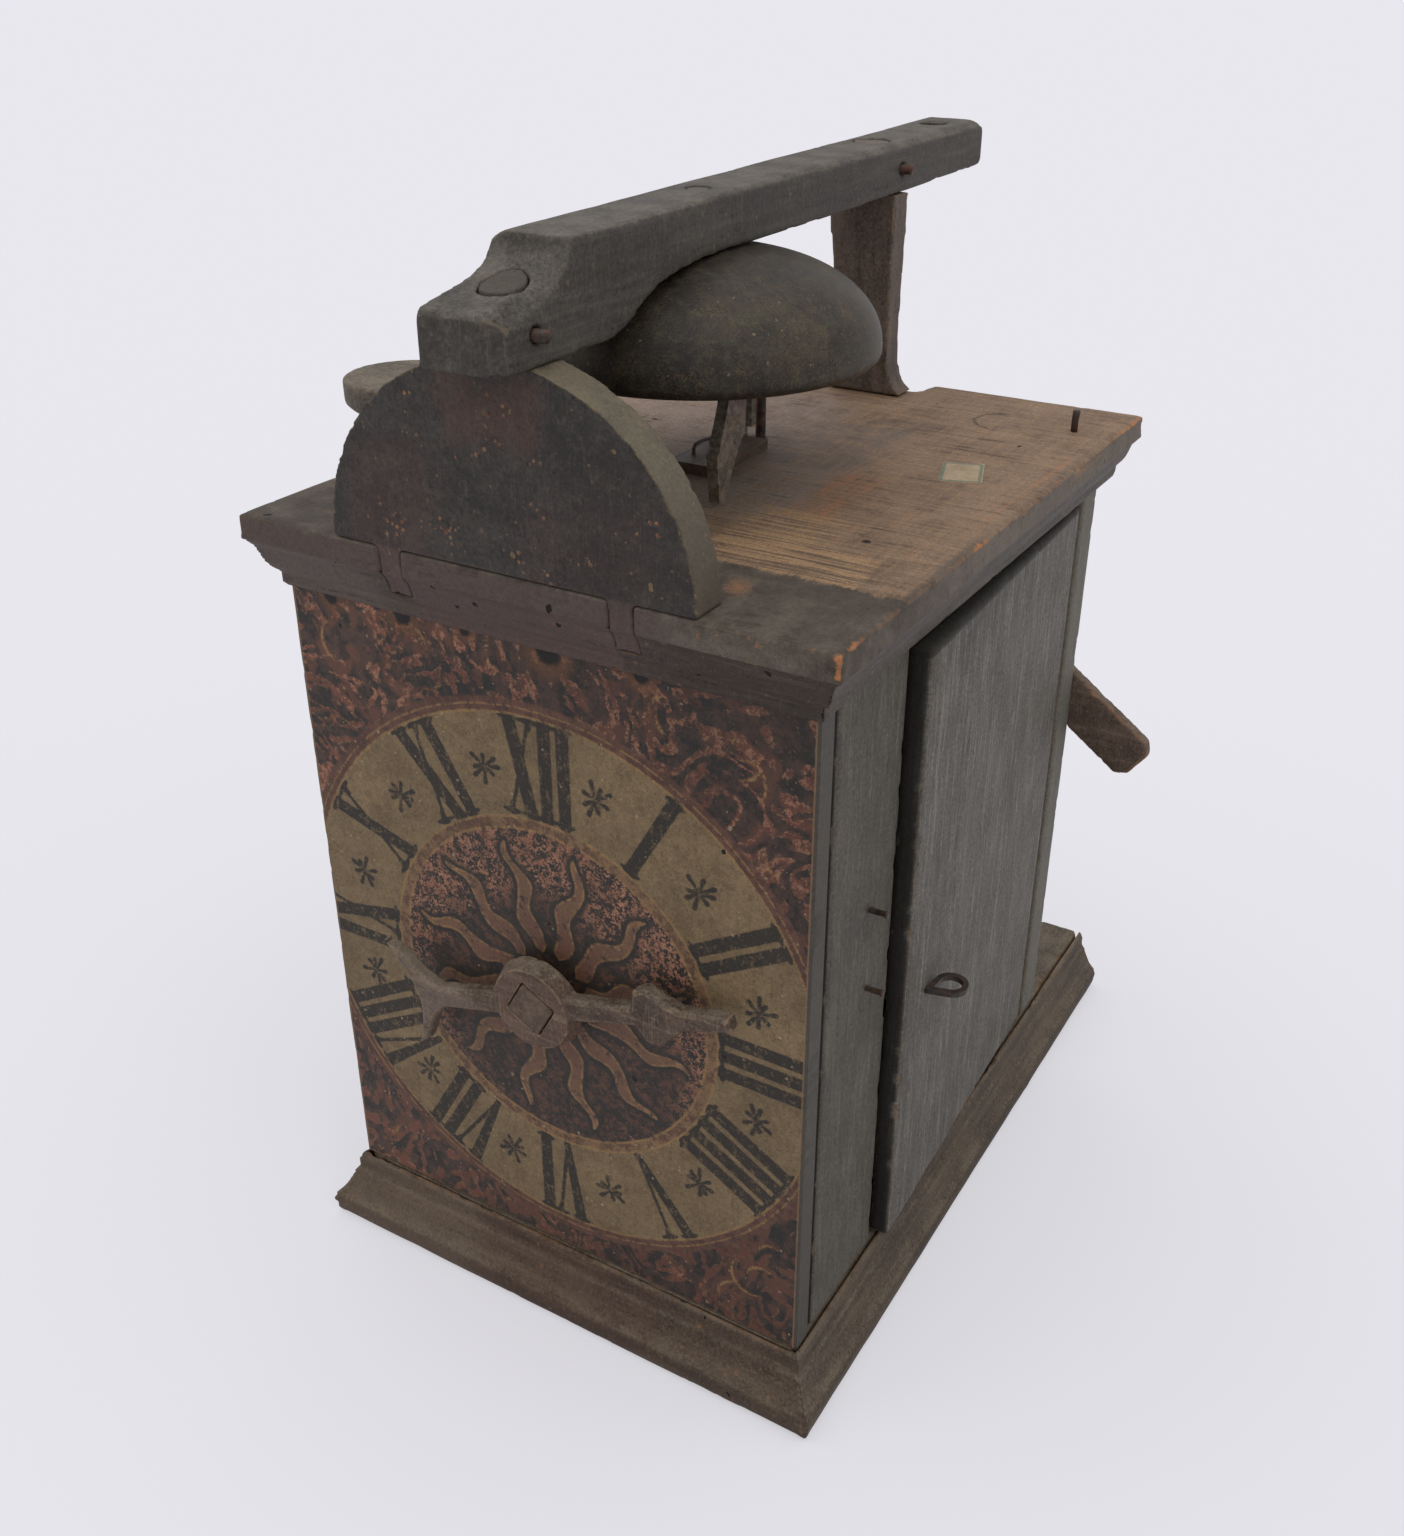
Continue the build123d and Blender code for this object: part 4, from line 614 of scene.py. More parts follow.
@dataclass(frozen=True)
class DialPaint:
    """The painted dial: ochre ring, dark numerals, red bands and flames, all flaked and dirty."""

    name: str = "dial_paint_aged"
    centre: tuple[float, float] = (0.0, 172.0)
    ochre: Colour = paint(128, 108, 78)
    ochre_low: Colour = paint(98, 80, 56)
    black: Colour = paint(34, 32, 29)
    red: Colour = paint(100, 61, 46)
    brick: Colour = paint(104, 76, 57)
    root: Colour = paint(98, 68, 54)
    tan: Colour = paint(126, 98, 70)
    pink: Colour = paint(146, 104, 82)
    yellow: Colour = paint(146, 114, 70)
    cream: Colour = paint(172, 152, 124)
    side: Colour = paint(60, 58, 52)
    joint_depth: float = 10.5
    rings: tuple[float, float, float, float] = (72.6, 77.4, 121.0, 127.0)
    side_strip: float = 113.6
    losses: tuple[tuple[float, float, float], ...] = (
        (-94.6, 320.9, 4.0), (-59.3, 321.0, 5.0), (-29.9, 322.0, 3.5), (7.5, 322.0, 6.5),
        (46.2, 321.5, 4.0),
    )

    def material(self) -> bpy.types.Material:
        """Builds the material.

        Returns:
            The finished material.
        """
        s = Shader(self.name)
        across, up = s.place.part("X") - self.centre[0], s.place.part("Z") - self.centre[1]
        wobble = (s.noise(14.0, 3.0, 0.6) - 0.5) * 1.0
        radius = s.maths("SQRT", across * across + up * up) + wobble
        fibre = s.noise(2.2, 6.0, 0.68, stretch=Grain.ALONG_Z.value)
        cloud = s.noise(34.0, 5.0, 0.6, shift=4.0)
        mottle = s.noise(6.0, 6.0, 0.72, shift=8.0)
        flaky = s.noise(2.6, 5.0, 0.7, shift=12.0, warp=0.5)
        fine = s.noise(0.9, 3.0, 0.6, shift=15.0)
        black = s.mix((mottle * 0.6 + fine * 0.4).step(0.44, 0.62), self.black, paint(52, 45, 39))
        swirl = s.noise(34.0, 2.0, 0.5, shift=51.0, warp=2.2)
        curls = s.maths("SINE", swirl * 25.0 + (mottle - 0.5) * 2.0)
        stained = s.mix((mottle * 0.6 + cloud * 0.4).step(0.44, 0.58) * 0.5, black, paint(86, 60, 50))
        held = (flaky * 0.55 + cloud * 0.45).step(0.38, 0.5)
        corner = s.mix(curls.step(0.1, 0.8) * held * 0.8, stained, self.red)
        corner = s.mix(abs(curls - 0.35).step(0.3, 0.1) * flaky.step(0.48, 0.58) * 0.5, corner, self.tan)
        scroll = self._drawn(s, "scroll", 0.9) * held
        corner = s.mix(scroll * 0.5, corner, self.red)
        low_corner = up.step(-96.0, -128.0)
        rosy = (flaky * 0.75 + fine * 0.25).step(0.5, 0.57) * curls.step(-0.5, 0.3)
        rosy = rosy * (cloud * 0.7 + mottle * 0.3 + up * 0.0009 + low_corner * 0.14).step(0.52, 0.62)
        corner = s.mix(rosy * 0.75, corner, self.pink)
        corner = corner * (across.step(40.0, -90.0) * 0.4 + 0.92)
        leaf = self._drawn(s, "leaf", 0.5) * (flaky * 0.7 + fine * 0.3).step(0.4, 0.52)
        corner = s.mix(leaf * 0.8, corner, self.yellow)
        tone = (mottle * 0.4 + cloud * 0.3 + fine * 0.3).step(0.4, 0.6)
        ground = s.mix(tone, self.ochre_low, self.ochre)
        ground = s.mix((fibre * 0.7 + fine * 0.3).step(0.45, 0.35) * 0.5, ground, paint(70, 56, 40))
        hours = self._drawn(s, "numeral", 0.35).most(self._drawn(s, "star", 0.35))
        kept = (flaky * 0.5 + fibre * 0.25 + fine * 0.25).step(0.41, 0.49)
        ground = s.mix(hours * (kept * 0.7 + 0.25), ground, self.black)
        ray = s.attribute("ray")
        outside = ray.step(1.0, 4.0)
        upper = (up * 0.4 + radius + (cloud - 0.5) * 70.0).step(46.0, 70.0)
        dusted = (flaky * 0.6 + fine * 0.4).step(0.47, 0.56) * (upper * 0.8 + 0.12)
        heart = s.mix(dusted * outside, black, self.pink)
        heart = s.mix((flaky * 0.5 + mottle * 0.5).step(0.48, 0.58) * 0.4 * outside, heart, self.red)
        flame = s.mix(radius.step(24.0, 46.0), self.root, self.brick)
        flame = s.mix((mottle * 0.5 + flaky * 0.5).step(0.54, 0.42) * 0.45, flame, paint(70, 54, 45))
        flame = s.mix(ray.step(-1.6, -0.4) * flaky.step(0.42, 0.56) * 0.5, flame, self.yellow)
        painted = self._drawn(s, "ray", 0.5) * (flaky * 0.6 + mottle * 0.4).step(0.36, 0.46)
        heart = s.mix(painted, heart, flame)
        heart = heart * 1.22
        inner, inner_edge, outer_edge, outer = self.rings
        band = s.mix((mottle * 0.6 + flaky * 0.4).step(0.42, 0.58), paint(72, 48, 40), self.root)
        tan = s.mix((mottle * 0.5 + flaky * 0.5).step(0.42, 0.58), paint(84, 60, 46), self.tan)
        colour = s.mix(radius.step(inner - 0.5, inner + 0.5), heart, tan)
        colour = s.mix(radius.step(inner_edge - 0.4, inner_edge + 0.4), colour, ground)
        colour = s.mix(radius.step(outer_edge - 0.5, outer_edge + 0.5), colour, band)
        colour = s.mix(radius.step(outer - 0.6, outer + 0.6), colour, corner)
        lines = abs(radius - outer_edge).least(abs(radius - inner_edge)).least(abs(radius - inner))
        colour = s.mix(lines.step(0.8, 0.3) * flaky.step(0.38, 0.5) * 0.6, colour, self.yellow)
        ruled = abs(radius - (outer_edge + outer) * 0.5).step(0.7, 0.2) * flaky.step(0.4, 0.52)
        colour = s.mix(ruled * 0.5, colour, self.yellow)
        lost = s.specks(2.6, 0.05, 0.24, 2.0).most(s.specks(5.5, 0.05, 0.15, 6.0))
        colour = s.mix(lost * 0.5, colour, self.cream)
        flecks = (flaky * 0.5 + fine * 0.5).step(0.6, 0.66) * cloud.step(0.4, 0.6)
        colour = s.mix(flecks * 0.35, colour, self.cream)
        gone = (flaky * 0.5 + fibre * 0.3 + cloud * 0.2).step(0.58, 0.66)
        colour = s.mix(gone * 0.5, colour, paint(98, 74, 54))
        grime = (s.noise(60.0, 6.0, 0.6, shift=21.0) * 0.6 + mottle * 0.4).step(0.4, 0.66)
        colour = s.mix(grime * 0.3, colour, paint(50, 40, 33))
        for x, z, reach in self.losses:
            away = self._away(s, x, z) + (mottle - 0.5) * reach
            colour = s.mix(away.step(reach * 2.2, reach * 1.1) * 0.6, colour, paint(96, 64, 40))
            colour = s.mix(away.step(reach, reach * 0.6), colour, paint(20, 16, 13))
        edge = s.attribute("wear")
        colour = s.mix((edge + flaky - 0.7).step(0.0, 0.3) * 0.7, colour, paint(92, 74, 58))
        edging = abs(across).step(self.side_strip - 0.3, self.side_strip + 0.3)
        colour = s.mix(edging * 0.85, colour, self.side)
        colour = s.mix(abs(abs(across) - self.side_strip).step(0.5, 0.2) * 0.6, colour, self.tan)
        joint = s.place.part("Y").step(self.joint_depth - 0.8, self.joint_depth)
        colour = s.mix(joint, colour, paint(18, 16, 14))
        colour = s.gritty(colour, 0.26)
        hole = s.specks(13.0, 0.16, 0.07, 9.0)
        colour = s.mix(hole, colour, paint(14, 12, 10))
        raised = hours * kept * 0.35 + self._drawn(s, "ray", 0.6) * 0.25
        height = fibre * 0.35 + flaky * 0.35 + fine * 0.2 + raised - lost * 0.4 - hole * 2.5
        rough = flaky * 0.25 + fine * 0.15 + 0.36
        return s.close(colour, rough, s.bump(height, 0.3), specular=0.28)

    @staticmethod
    def _away(s: Shader, x: float, z: float) -> Wire:
        """The distance from a place on the board's face, in millimetres."""
        right, up = s.place.part("X") - x, s.place.part("Z") - z
        return s.maths("SQRT", right * right + up * up)

    @staticmethod
    def _drawn(s: Shader, name: str, soft: float) -> Wire:
        """1 inside a drawn shape, whose signed distance in millimetres is stored on the mesh."""
        ragged = (s.noise(1.6, 3.0, 0.6, shift=31.0) - 0.5) * 1.0
        return (s.attribute(name) + ragged).step(soft, -soft)


@dataclass(frozen=True)
class AgedIron:
    """Forged iron with rust."""

    name: str
    iron: Colour = paint(70, 61, 54)
    rust: Colour = paint(104, 66, 44)
    dark: Colour = paint(38, 32, 28)
    rusty: float = 0.5
    tool_marks: bool = False

    def material(self) -> bpy.types.Material:
        """Builds the material.

        Returns:
            The finished material.
        """
        s = Shader(self.name)
        mottle = s.noise(3.2, 6.0, 0.7, shift=3.0)
        fine = s.noise(0.6, 3.0, 0.6, shift=5.0)
        marks = s.noise(1.4, 4.0, 0.6, stretch=(0.25, 0.25, 1.0), shift=9.0)
        colour = s.mix((mottle * 0.7 + fine * 0.3).step(0.4, 0.6), self.dark, self.iron)
        rusted = (s.noise(5.0, 6.0, 0.7, shift=13.0) * 0.8 + fine * 0.2).step(0.46, 0.6) * self.rusty
        colour = s.mix(rusted, colour, self.rust)
        rough = rusted * 0.3 + fine * 0.15 + 0.42
        height = mottle * 0.5 + fine * 0.3 + (marks * 0.9 if self.tool_marks else marks * 0.1)
        return s.close(colour, rough, s.bump(height, 0.22), metallic=0.3, specular=0.4)


@dataclass(frozen=True)
class BellBronze:
    """Cast bell metal under a dull brown-green skin."""

    name: str = "bell_metal_aged"
    skin: Colour = paint(66, 58, 46)
    deep: Colour = paint(34, 31, 27)
    green: Colour = paint(68, 68, 53)
    brown: Colour = paint(106, 84, 58)

    def material(self) -> bpy.types.Material:
        """Builds the material.

        Returns:
            The finished material.
        """
        s = Shader(self.name)
        cloud = s.noise(26.0, 6.0, 0.62, shift=2.0)
        mottle = s.noise(5.0, 6.0, 0.7, shift=6.0)
        fine = s.noise(0.8, 3.0, 0.6, shift=8.0)
        turned = s.noise(1.6, 4.0, 0.6, stretch=(0.05, 0.05, 1.0), shift=4.0)
        colour = s.mix((cloud * 0.4 + mottle * 0.35 + fine * 0.25).step(0.36, 0.62), self.deep, self.skin)
        colour = s.mix((mottle * 0.6 + turned * 0.4).step(0.5, 0.62) * 0.5, colour, self.green)
        patches = (s.noise(9.0, 6.0, 0.72, shift=12.0) * 0.5 + fine * 0.5).step(0.52, 0.64)
        colour = s.mix(patches * 0.45, colour, self.brown)
        colour = s.mix((fine * 0.6 + mottle * 0.4).step(0.42, 0.34) * 0.5, colour, paint(34, 31, 28))
        colour = s.mix(s.specks(3.0, 0.1, 0.2, 3.0) * 0.4, colour, paint(140, 122, 96))
        colour = s.gritty(colour, 0.3)
        rough = mottle * 0.25 + fine * 0.1 + 0.36
        height = turned * 0.4 + mottle * 0.4 + fine * 0.2
        return s.close(colour, rough, s.bump(height, 0.16), metallic=0.25, specular=0.3)


@dataclass(frozen=True)
class OldPaper:
    """A blank paper label with a thin printed border."""

    name: str = "label_paper"
    paper: Colour = paint(178, 160, 134)
    line: Colour = paint(92, 112, 98)

    def material(self) -> bpy.types.Material:
        """Builds the material.

        Returns:
            The finished material.
        """
        s = Shader(self.name)
        fine = s.noise(0.7, 4.0, 0.6)
        cloud = s.noise(7.0, 5.0, 0.6, shift=4.0)
        colour = s.mix((cloud * 0.6 + fine * 0.4).step(0.38, 0.62), paint(150, 132, 106), self.paper)
        inset = s.attribute("inset")
        border = inset.step(0.3, 0.6) * inset.step(1.9, 1.6)
        colour = s.mix(border * 0.75, colour, self.line)
        colour = s.mix(cloud.step(0.56, 0.66) * 0.35, colour, paint(120, 98, 72))
        return s.close(colour, fine * 0.1 + 0.75, s.bump(fine, 0.05))


@dataclass(frozen=True)
class Seam:
    """A flat joint, where nothing is worn: places where the sum of the terms is the offset.

    It runs no further back than the depth, and no further from the middle than the half width.
    """

    across: float
    deep: float
    up: float
    offset: float
    depth: float = FAR
    half: float = FAR

    def near(self, places: np.ndarray) -> np.ndarray:
        """0 on the joint and 1 well away from it, for places in millimetres.

        Args:
            places: The places, one row each.

        Returns:
            One number for each place.
        """
        facing = np.array((self.across, self.deep, self.up))
        away = (places @ facing - self.offset) / np.linalg.norm(facing)
        beyond = np.maximum(places[:, 1] - self.depth, np.abs(places[:, 0]) - self.half)
        return np.maximum(ramp(np.abs(away), 0.5, 3.0), ramp(beyond, 0.0, 2.0))


@dataclass(frozen=True)
class Wear:
    """How far a board's edges and faces have worn, in millimetres.

    The bend is what a fully worn edge has between neighbouring points. The fade is what is left of
    the wear one point further in, and the pull is how much of the way to its neighbours' middle a
    worn point goes in each round.
    """

    voxel: float
    rounding: int = 4
    waves: float = 0.5
    chips: float = 1.2
    chip_size: float = 7.0
    spread: int = 2
    bend: float = 0.25
    fade: float = 0.75
    pull: float = 0.6
    wave_sizes: tuple[float, float] = (38.0, 13.0)
    seams: tuple[Seam, ...] = ()


class AgedCopy:
    """A remeshed copy of a CAD node, with worn edges, slow waves in its faces and chipped corners."""

    def __init__(self, node: str, wear: Wear, seed: int = 1) -> None:
        """Keeps the node's name and how it is worn.

        Args:
            node: The CAD node that is copied.
            wear: How it is worn.
            seed: Picks one draw of the wear out of many.
        """
        self.node = node
        self.wear = wear
        self.seed = seed

    def build(self) -> bpy.types.Object:
        """Makes the object.

        Returns:
            The new object, whose points carry how far they are worn and chipped.
        """
        mesh = self._remeshed()
        count = len(mesh.vertices)
        places = self._read(mesh, "co") / MM
        normals = self._read(mesh, "normal")
        edges = np.empty(len(mesh.edges) * 2, np.int64)
        mesh.edges.foreach_get("vertices", edges)
        edges = edges.reshape(-1, 2)
        first = np.concatenate([edges[:, 0], edges[:, 1]])
        second = np.concatenate([edges[:, 1], edges[:, 0]])
        ends = np.maximum(np.bincount(first, minlength=count), 1)

        def around(values: np.ndarray) -> np.ndarray:
            """The mean of each point's neighbours."""
            return np.bincount(first, weights=values[second], minlength=count) / ends

        away = places[second] - places[first]
        bend = -(away * normals[first]).sum(1) / np.maximum((away * away).sum(1), 1e-9)
        bend = np.bincount(first, weights=bend, minlength=count) / ends * self.wear.voxel
        worn = np.clip(bend / self.wear.bend, 0, 1)
        for _ in range(self.wear.spread):
            worn = np.maximum(worn * self.wear.fade, around(worn))
        for seam in self.wear.seams:
            worn = worn * seam.near(places)
        for _ in range(self.wear.rounding):
            middle = np.stack([around(places[:, i]) for i in range(3)], axis=1)
            inward = np.minimum(((middle - places) * normals).sum(1), 0)
            places += normals * (inward * self.wear.pull * np.clip(worn * 1.6, 0, 1))[:, None]
        large = lattice(places, self.wear.chip_size, self.seed) * 0.7
        small = lattice(places, self.wear.chip_size * 0.35, self.seed + 7) * 0.3
        chip = ramp(large + small, 0.60, 0.78) * ramp(worn, 0.12, 0.6)
        slow, quick = self.wear.wave_sizes
        wave = lattice(places, slow, self.seed + 3) * 0.6 + lattice(places, quick, self.seed + 5) * 0.4
        depth = wave * self.wear.waves + chip * self.wear.chips
        for seam in self.wear.seams:
            depth = depth * seam.near(places)
        places -= normals * depth[:, None]
        mesh.vertices.foreach_set("co", (places * MM).ravel())
        for name, values in (("wear", worn), ("chip", chip)):
            layer = mesh.attributes.new(name, "FLOAT", "POINT")
            layer.data.foreach_set("value", values.astype(np.float32))
        mesh.shade_smooth()
        mesh.update()
        made = bpy.data.objects.new(f"{self.node}_aged", mesh)
        bpy.context.scene.collection.objects.link(made)
        return made

    @staticmethod
    def _read(mesh: bpy.types.Mesh, name: str) -> np.ndarray:
        """A vector of every point, one row each.

        Args:
            mesh: The mesh.
            name: The vector's name, such as co or normal.

        Returns:
            The vectors.
        """
        values = np.empty(len(mesh.vertices) * 3)
        mesh.vertices.foreach_get(name, values)
        return values.reshape(-1, 3)

    def _remeshed(self) -> bpy.types.Mesh:
        """The node's mesh, welded and remeshed to even faces.

        Returns:
            A new mesh without a material.
        """
        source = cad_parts[self.node].data
        welded = bmesh.new()
        welded.from_mesh(source)
        bmesh.ops.remove_doubles(welded, verts=welded.verts, dist=1e-6)
        mesh = bpy.data.meshes.new(f"{self.node}_aged")
        welded.to_mesh(mesh)
        welded.free()
        carrier = bpy.data.objects.new("carrier", mesh)
        bpy.context.scene.collection.objects.link(carrier)
        remesh = carrier.modifiers.new("even", "REMESH")
        remesh.mode = "VOXEL"
        remesh.voxel_size = self.wear.voxel * MM
        graph = bpy.context.evaluated_depsgraph_get()
        even = bpy.data.meshes.new_from_object(carrier.evaluated_get(graph))
        bpy.data.objects.remove(carrier)
        even.materials.clear()
        return even


def link_mesh(name: str, points: Sequence[Point], faces: Sequence[Sequence[int]]) -> bpy.types.Object:
    """Makes a smooth object from points in millimetres and faces.

    Args:
        name: The piece's name.
        points: The points.
        faces: The faces, as numbers of their points.

    Returns:
        The new object, in the scene.
    """
    mesh = bpy.data.meshes.new(name)
    mesh.from_pydata([tuple(c * MM for c in p) for p in points], [], faces)
    mesh.validate()
    mesh.shade_smooth()
    made = bpy.data.objects.new(name, mesh)
    bpy.context.scene.collection.objects.link(made)
    return made


def swept(name: str, path: Sequence[Point], radii: Sequence[float], sides: int = 16) -> bpy.types.Object:
    """A round bar along a path.

    Args:
        name: The piece's name.
        path: Points along the middle, in millimetres.
        radii: The radius at each point.
        sides: Points round the bar.

    Returns:
        The object, closed at both ends.
    """
    points: list[Point] = []
    side = Vector((0.31, 0.22, 0.93))  # any direction that no path follows
    for index, place in enumerate(path):
        before, after = path[max(index - 1, 0)], path[min(index + 1, len(path) - 1)]
        along = (Vector(after) - Vector(before)).normalized()
        side = (side - along * side.dot(along)).normalized()
        other = along.cross(side)
        for step in range(sides):
            angle = 2 * math.pi * step / sides
            spoke = side * math.cos(angle) + other * math.sin(angle)
            points.append(tuple(Vector(place) + spoke * radii[index]))
    faces = []
    for ring in range(len(path) - 1):
        for step in range(sides):
            a, b = ring * sides + step, ring * sides + (step + 1) % sides
            faces.append((a, b, b + sides, a + sides))
    last = (len(path) - 1) * sides
    faces.append(tuple(range(sides - 1, -1, -1)))
    faces.append(tuple(range(last, last + sides)))
    return link_mesh(name, points, faces)


class Assembly:
    """What every sub-assembly does with a piece once it is made."""

    def dress(
        self,
        piece: bpy.types.Object,
        body: str,
        slot: str,
        material: bpy.types.Material,
        *nodes: str,
    ) -> bpy.types.Object:
        """Gives a new piece its body and material, and hides the nodes that it stands for.

        Args:
            piece: The piece.
            body: The body that it moves with.
            slot: Not used.
            material: Its material.
            nodes: The CAD nodes that it replaces.

        Returns:
            The piece.
        """
        piece.data.materials.clear()
        piece.data.materials.append(material)
        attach(piece, body)
        if nodes:
            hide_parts(*nodes)
        log.info("%s: %d points on %s", piece.name, len(piece.data.vertices), body)
        return piece

    def cover(self, nodes: Sequence[str], material: bpy.types.Material, bevel: float = 0.0) -> None:
        """Gives CAD nodes a material and softens their edges.

        Args:
            nodes: The nodes' names.
            material: Their material.
            bevel: The softened edges' width in millimetres.
        """
        for name in nodes:
            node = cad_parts[name]
            node.data.materials.clear()
            node.data.materials.append(material)
            if bevel:
                soft = node.modifiers.new("soft_edges", "BEVEL")
                soft.width = bevel * MM
                soft.segments = 2
                soft.limit_method = "ANGLE"
                soft.angle_limit = math.radians(40)
            log.info("%s: CAD form in %s", name, material.name)


# The joints of the CAD boards, in millimetres. Edges along them stay sharp and closed.
MITRES = (Seam(1.0, 1.0, 0.0, 115.0), Seam(-1.0, 1.0, 0.0, 115.0))
LEG_SIDES = tuple(Seam(1.0, 0.0, 0.0, x, 3.0) for x in (-57.2, -47.1, 41.1, 50.9))
CREST_FOOT = Seam(0.0, 0.0, 1.0, 352.1, 5.6, 76.0)
TOP_UNDERSIDE = Seam(0.0, 0.0, 1.0, 341.6)
BEAM_FOOT = Seam(0.0, 0.0, 1.0, 423.6, 12.0)
# The depth and height of the bent pins in the right front stile.
STILE_PINS = ((48.0, 222.5), (48.8, 186.0))


@dataclass
class Case(Assembly):
    """The case: base board and mouldings, stiles, rails, back, cornice and top board."""

    base_wear: Wear = Wear(1.0, rounding=2, waves=0.5, chips=1.5, seams=MITRES)
    cornice_wear: Wear = Wear(
        0.8, rounding=2, waves=0.3, chips=1.2, chip_size=6.0,
        seams=(*MITRES, *LEG_SIDES, TOP_UNDERSIDE),
    )
    stile_wear: Wear = Wear(1.6, rounding=1, waves=0.3, chips=0.8)
    board_wear: Wear = Wear(2.4, rounding=2, waves=0.5, chips=1.4)
    top_wear: Wear = Wear(
        1.3, rounding=2, waves=0.5, chips=1.3, chip_size=6.0,
        seams=(*LEG_SIDES, CREST_FOOT, TOP_UNDERSIDE),
    )

    def build(self) -> None:
        """Builds and dresses every board of the case."""
        self._mouldings()
        self._sides()
        self._boards()

    def _mouldings(self) -> None:
        """The base mouldings and the cornice."""
        olive = PaintedWood(
            "base_paint_aged", paint(84, 69, 56), paint(54, 44, 37), paint(116, 98, 80),
            paint(118, 84, 58),
            Grain.ALONG_X, patch=30.0, scuffs=0.5, worn=0.55, dusting=0.3, specks=0.12, holes=0.2,
            stains=(
                Stain((-140.0, -99.0, -9.0), (-40.0, 99.0, 99.0), paint(98, 84, 70), 0.5, 14.0),
                Stain((-44.0, -99.0, -9.0), (50.0, 99.0, 40.0), paint(70, 50, 41), 0.42, 8.0, 16.0),
            ),
        )
        side = PaintedWood(
            "base_side_paint_aged", paint(86, 74, 61), paint(56, 47, 40), paint(118, 104, 88),
            paint(112, 84, 60),
            Grain.ALONG_Y, patch=34.0, scuffs=0.55, worn=0.5, dusting=0.3, specks=0.08,
        )
        for name, finish in (("front", olive), ("left", side), ("right", side)):
            node = f"base_moulding_{name}"
            piece = AgedCopy(node, self.base_wear, 11).build()
            self.dress(piece, "case", "moulding_paint", self._made(finish), node)
        purple = Stain((-47.0, -FAR, 320.0), (41.0, FAR, 342.0), paint(82, 66, 62), 0.75, 1.0, 1.0)
        brown = PaintedWood(
            "cornice_paint_aged", paint(76, 66, 60), paint(52, 44, 40), paint(104, 90, 80),
            paint(110, 82, 60),
            Grain.ALONG_X, patch=26.0, scuffs=0.4, worn=0.6, dusting=0.2, specks=0.1, holes=0.2,
            stains=(
                purple,
                Stain((62.0, -99.0, 300.0), (140.0, 99.0, 360.0), paint(56, 48, 41), 0.75, 10.0),
                Stain((-140.0, -99.0, 300.0), (-66.0, 99.0, 360.0), paint(98, 86, 80), 0.5, 10.0),
            ),
        )
        grey = PaintedWood(
            "cornice_side_paint_aged", paint(90, 82, 75), paint(58, 53, 48), paint(120, 110, 100),
            paint(112, 86, 66),
            Grain.ALONG_Y, patch=30.0, scuffs=0.45, worn=0.6, dusting=0.2, specks=0.08,
        )
        for name, finish in (("front", brown), ("left", grey), ("right", grey)):
            node = f"cornice_{name}"
            piece = AgedCopy(node, self.cornice_wear, 23).build()
            self.dress(piece, "case", "moulding_paint", self._made(finish), node)

    def _sides(self) -> None:
        """The stiles and rails beside the doors."""
        finish = PaintedWood(
            "stile_paint_aged", paint(86, 81, 72), paint(64, 59, 52), paint(120, 115, 106),
            paint(96, 80, 62),
            Grain.ALONG_Z, patch=26.0, streaky=0.1, scuffs=0.45, worn=0.45, dusting=0.1,
            specks=0.05, grit=0.3,
            stains=(
                Stain((60.0, 250.0, -FAR), (FAR, FAR, FAR), paint(112, 109, 98), 0.45, 2.0, 4.0),
                Stain((-FAR, 9.0, -FAR), (FAR, 14.0, FAR), paint(20, 18, 16), 0.95, 0.4, 0.1, True),
            ),
            rings=tuple(
                Ring("X", (y, z - 5.0), 5.2, 0.6, paint(40, 34, 30), 0.6, 3.4) for y, z in STILE_PINS
            ),
        )
        material = self._made(finish)
        for node in ("stile_front_left", "stile_front_right", "stile_rear_left", "stile_rear_right"):
            self.dress(AgedCopy(node, self.stile_wear, 31).build(), "case", "side_paint", material, node)
        self.cover(("side_rail_left", "side_rail_right"), material, 0.5)

    def _boards(self) -> None:
        """The base board, the back and the top."""
        dark = PaintedWood(
            "base_board_paint_aged", paint(84, 74, 64), paint(56, 49, 42), paint(112, 98, 84),
            paint(112, 88, 64), Grain.ALONG_Y, scuffs=0.5, worn=0.4, dusting=0.3,
        )
        back = BareWood("back_board_aged", paint(126, 104, 82), paint(92, 74, 58), Grain.ALONG_Z)
        for node, finish in (("base_board", dark), ("back_board", back)):
            piece = AgedCopy(node, self.board_wear, 41).build()
            self.dress(piece, "case", "bare_wood", finish.material(), node)
        top = AgedCopy("top_board", self.top_wear, 47).build()
        self.dress(top, "case", "top_wood", TopBoardWood().material(), "top_board")

    @staticmethod
    def _made(finish: PaintedWood) -> bpy.types.Material:
        """The finish's material, made once."""
        known = bpy.data.materials.get(finish.name)
        return known or finish.material()


@dataclass
class Stroke:
    """One tapered stroke of a figure, in millimetres across and up."""

    start: tuple[float, float]
    end: tuple[float, float]
    start_half: float
    end_half: float

    def distance(self, across: np.ndarray, up: np.ndarray) -> np.ndarray:
        """The signed distance of places from the stroke's edge, below 0 inside.

        Args:
            across: The places' distances to the right.
            up: Their heights.

        Returns:
            One distance for each place.
        """
        (x0, y0), (x1, y1) = self.start, self.end
        dx, dy = x1 - x0, y1 - y0
        part = np.clip(((across - x0) * dx + (up - y0) * dy) / (dx * dx + dy * dy), 0, 1)
        half = self.start_half + (self.end_half - self.start_half) * part
        return np.hypot(across - x0 - part * dx, up - y0 - part * dy) - half


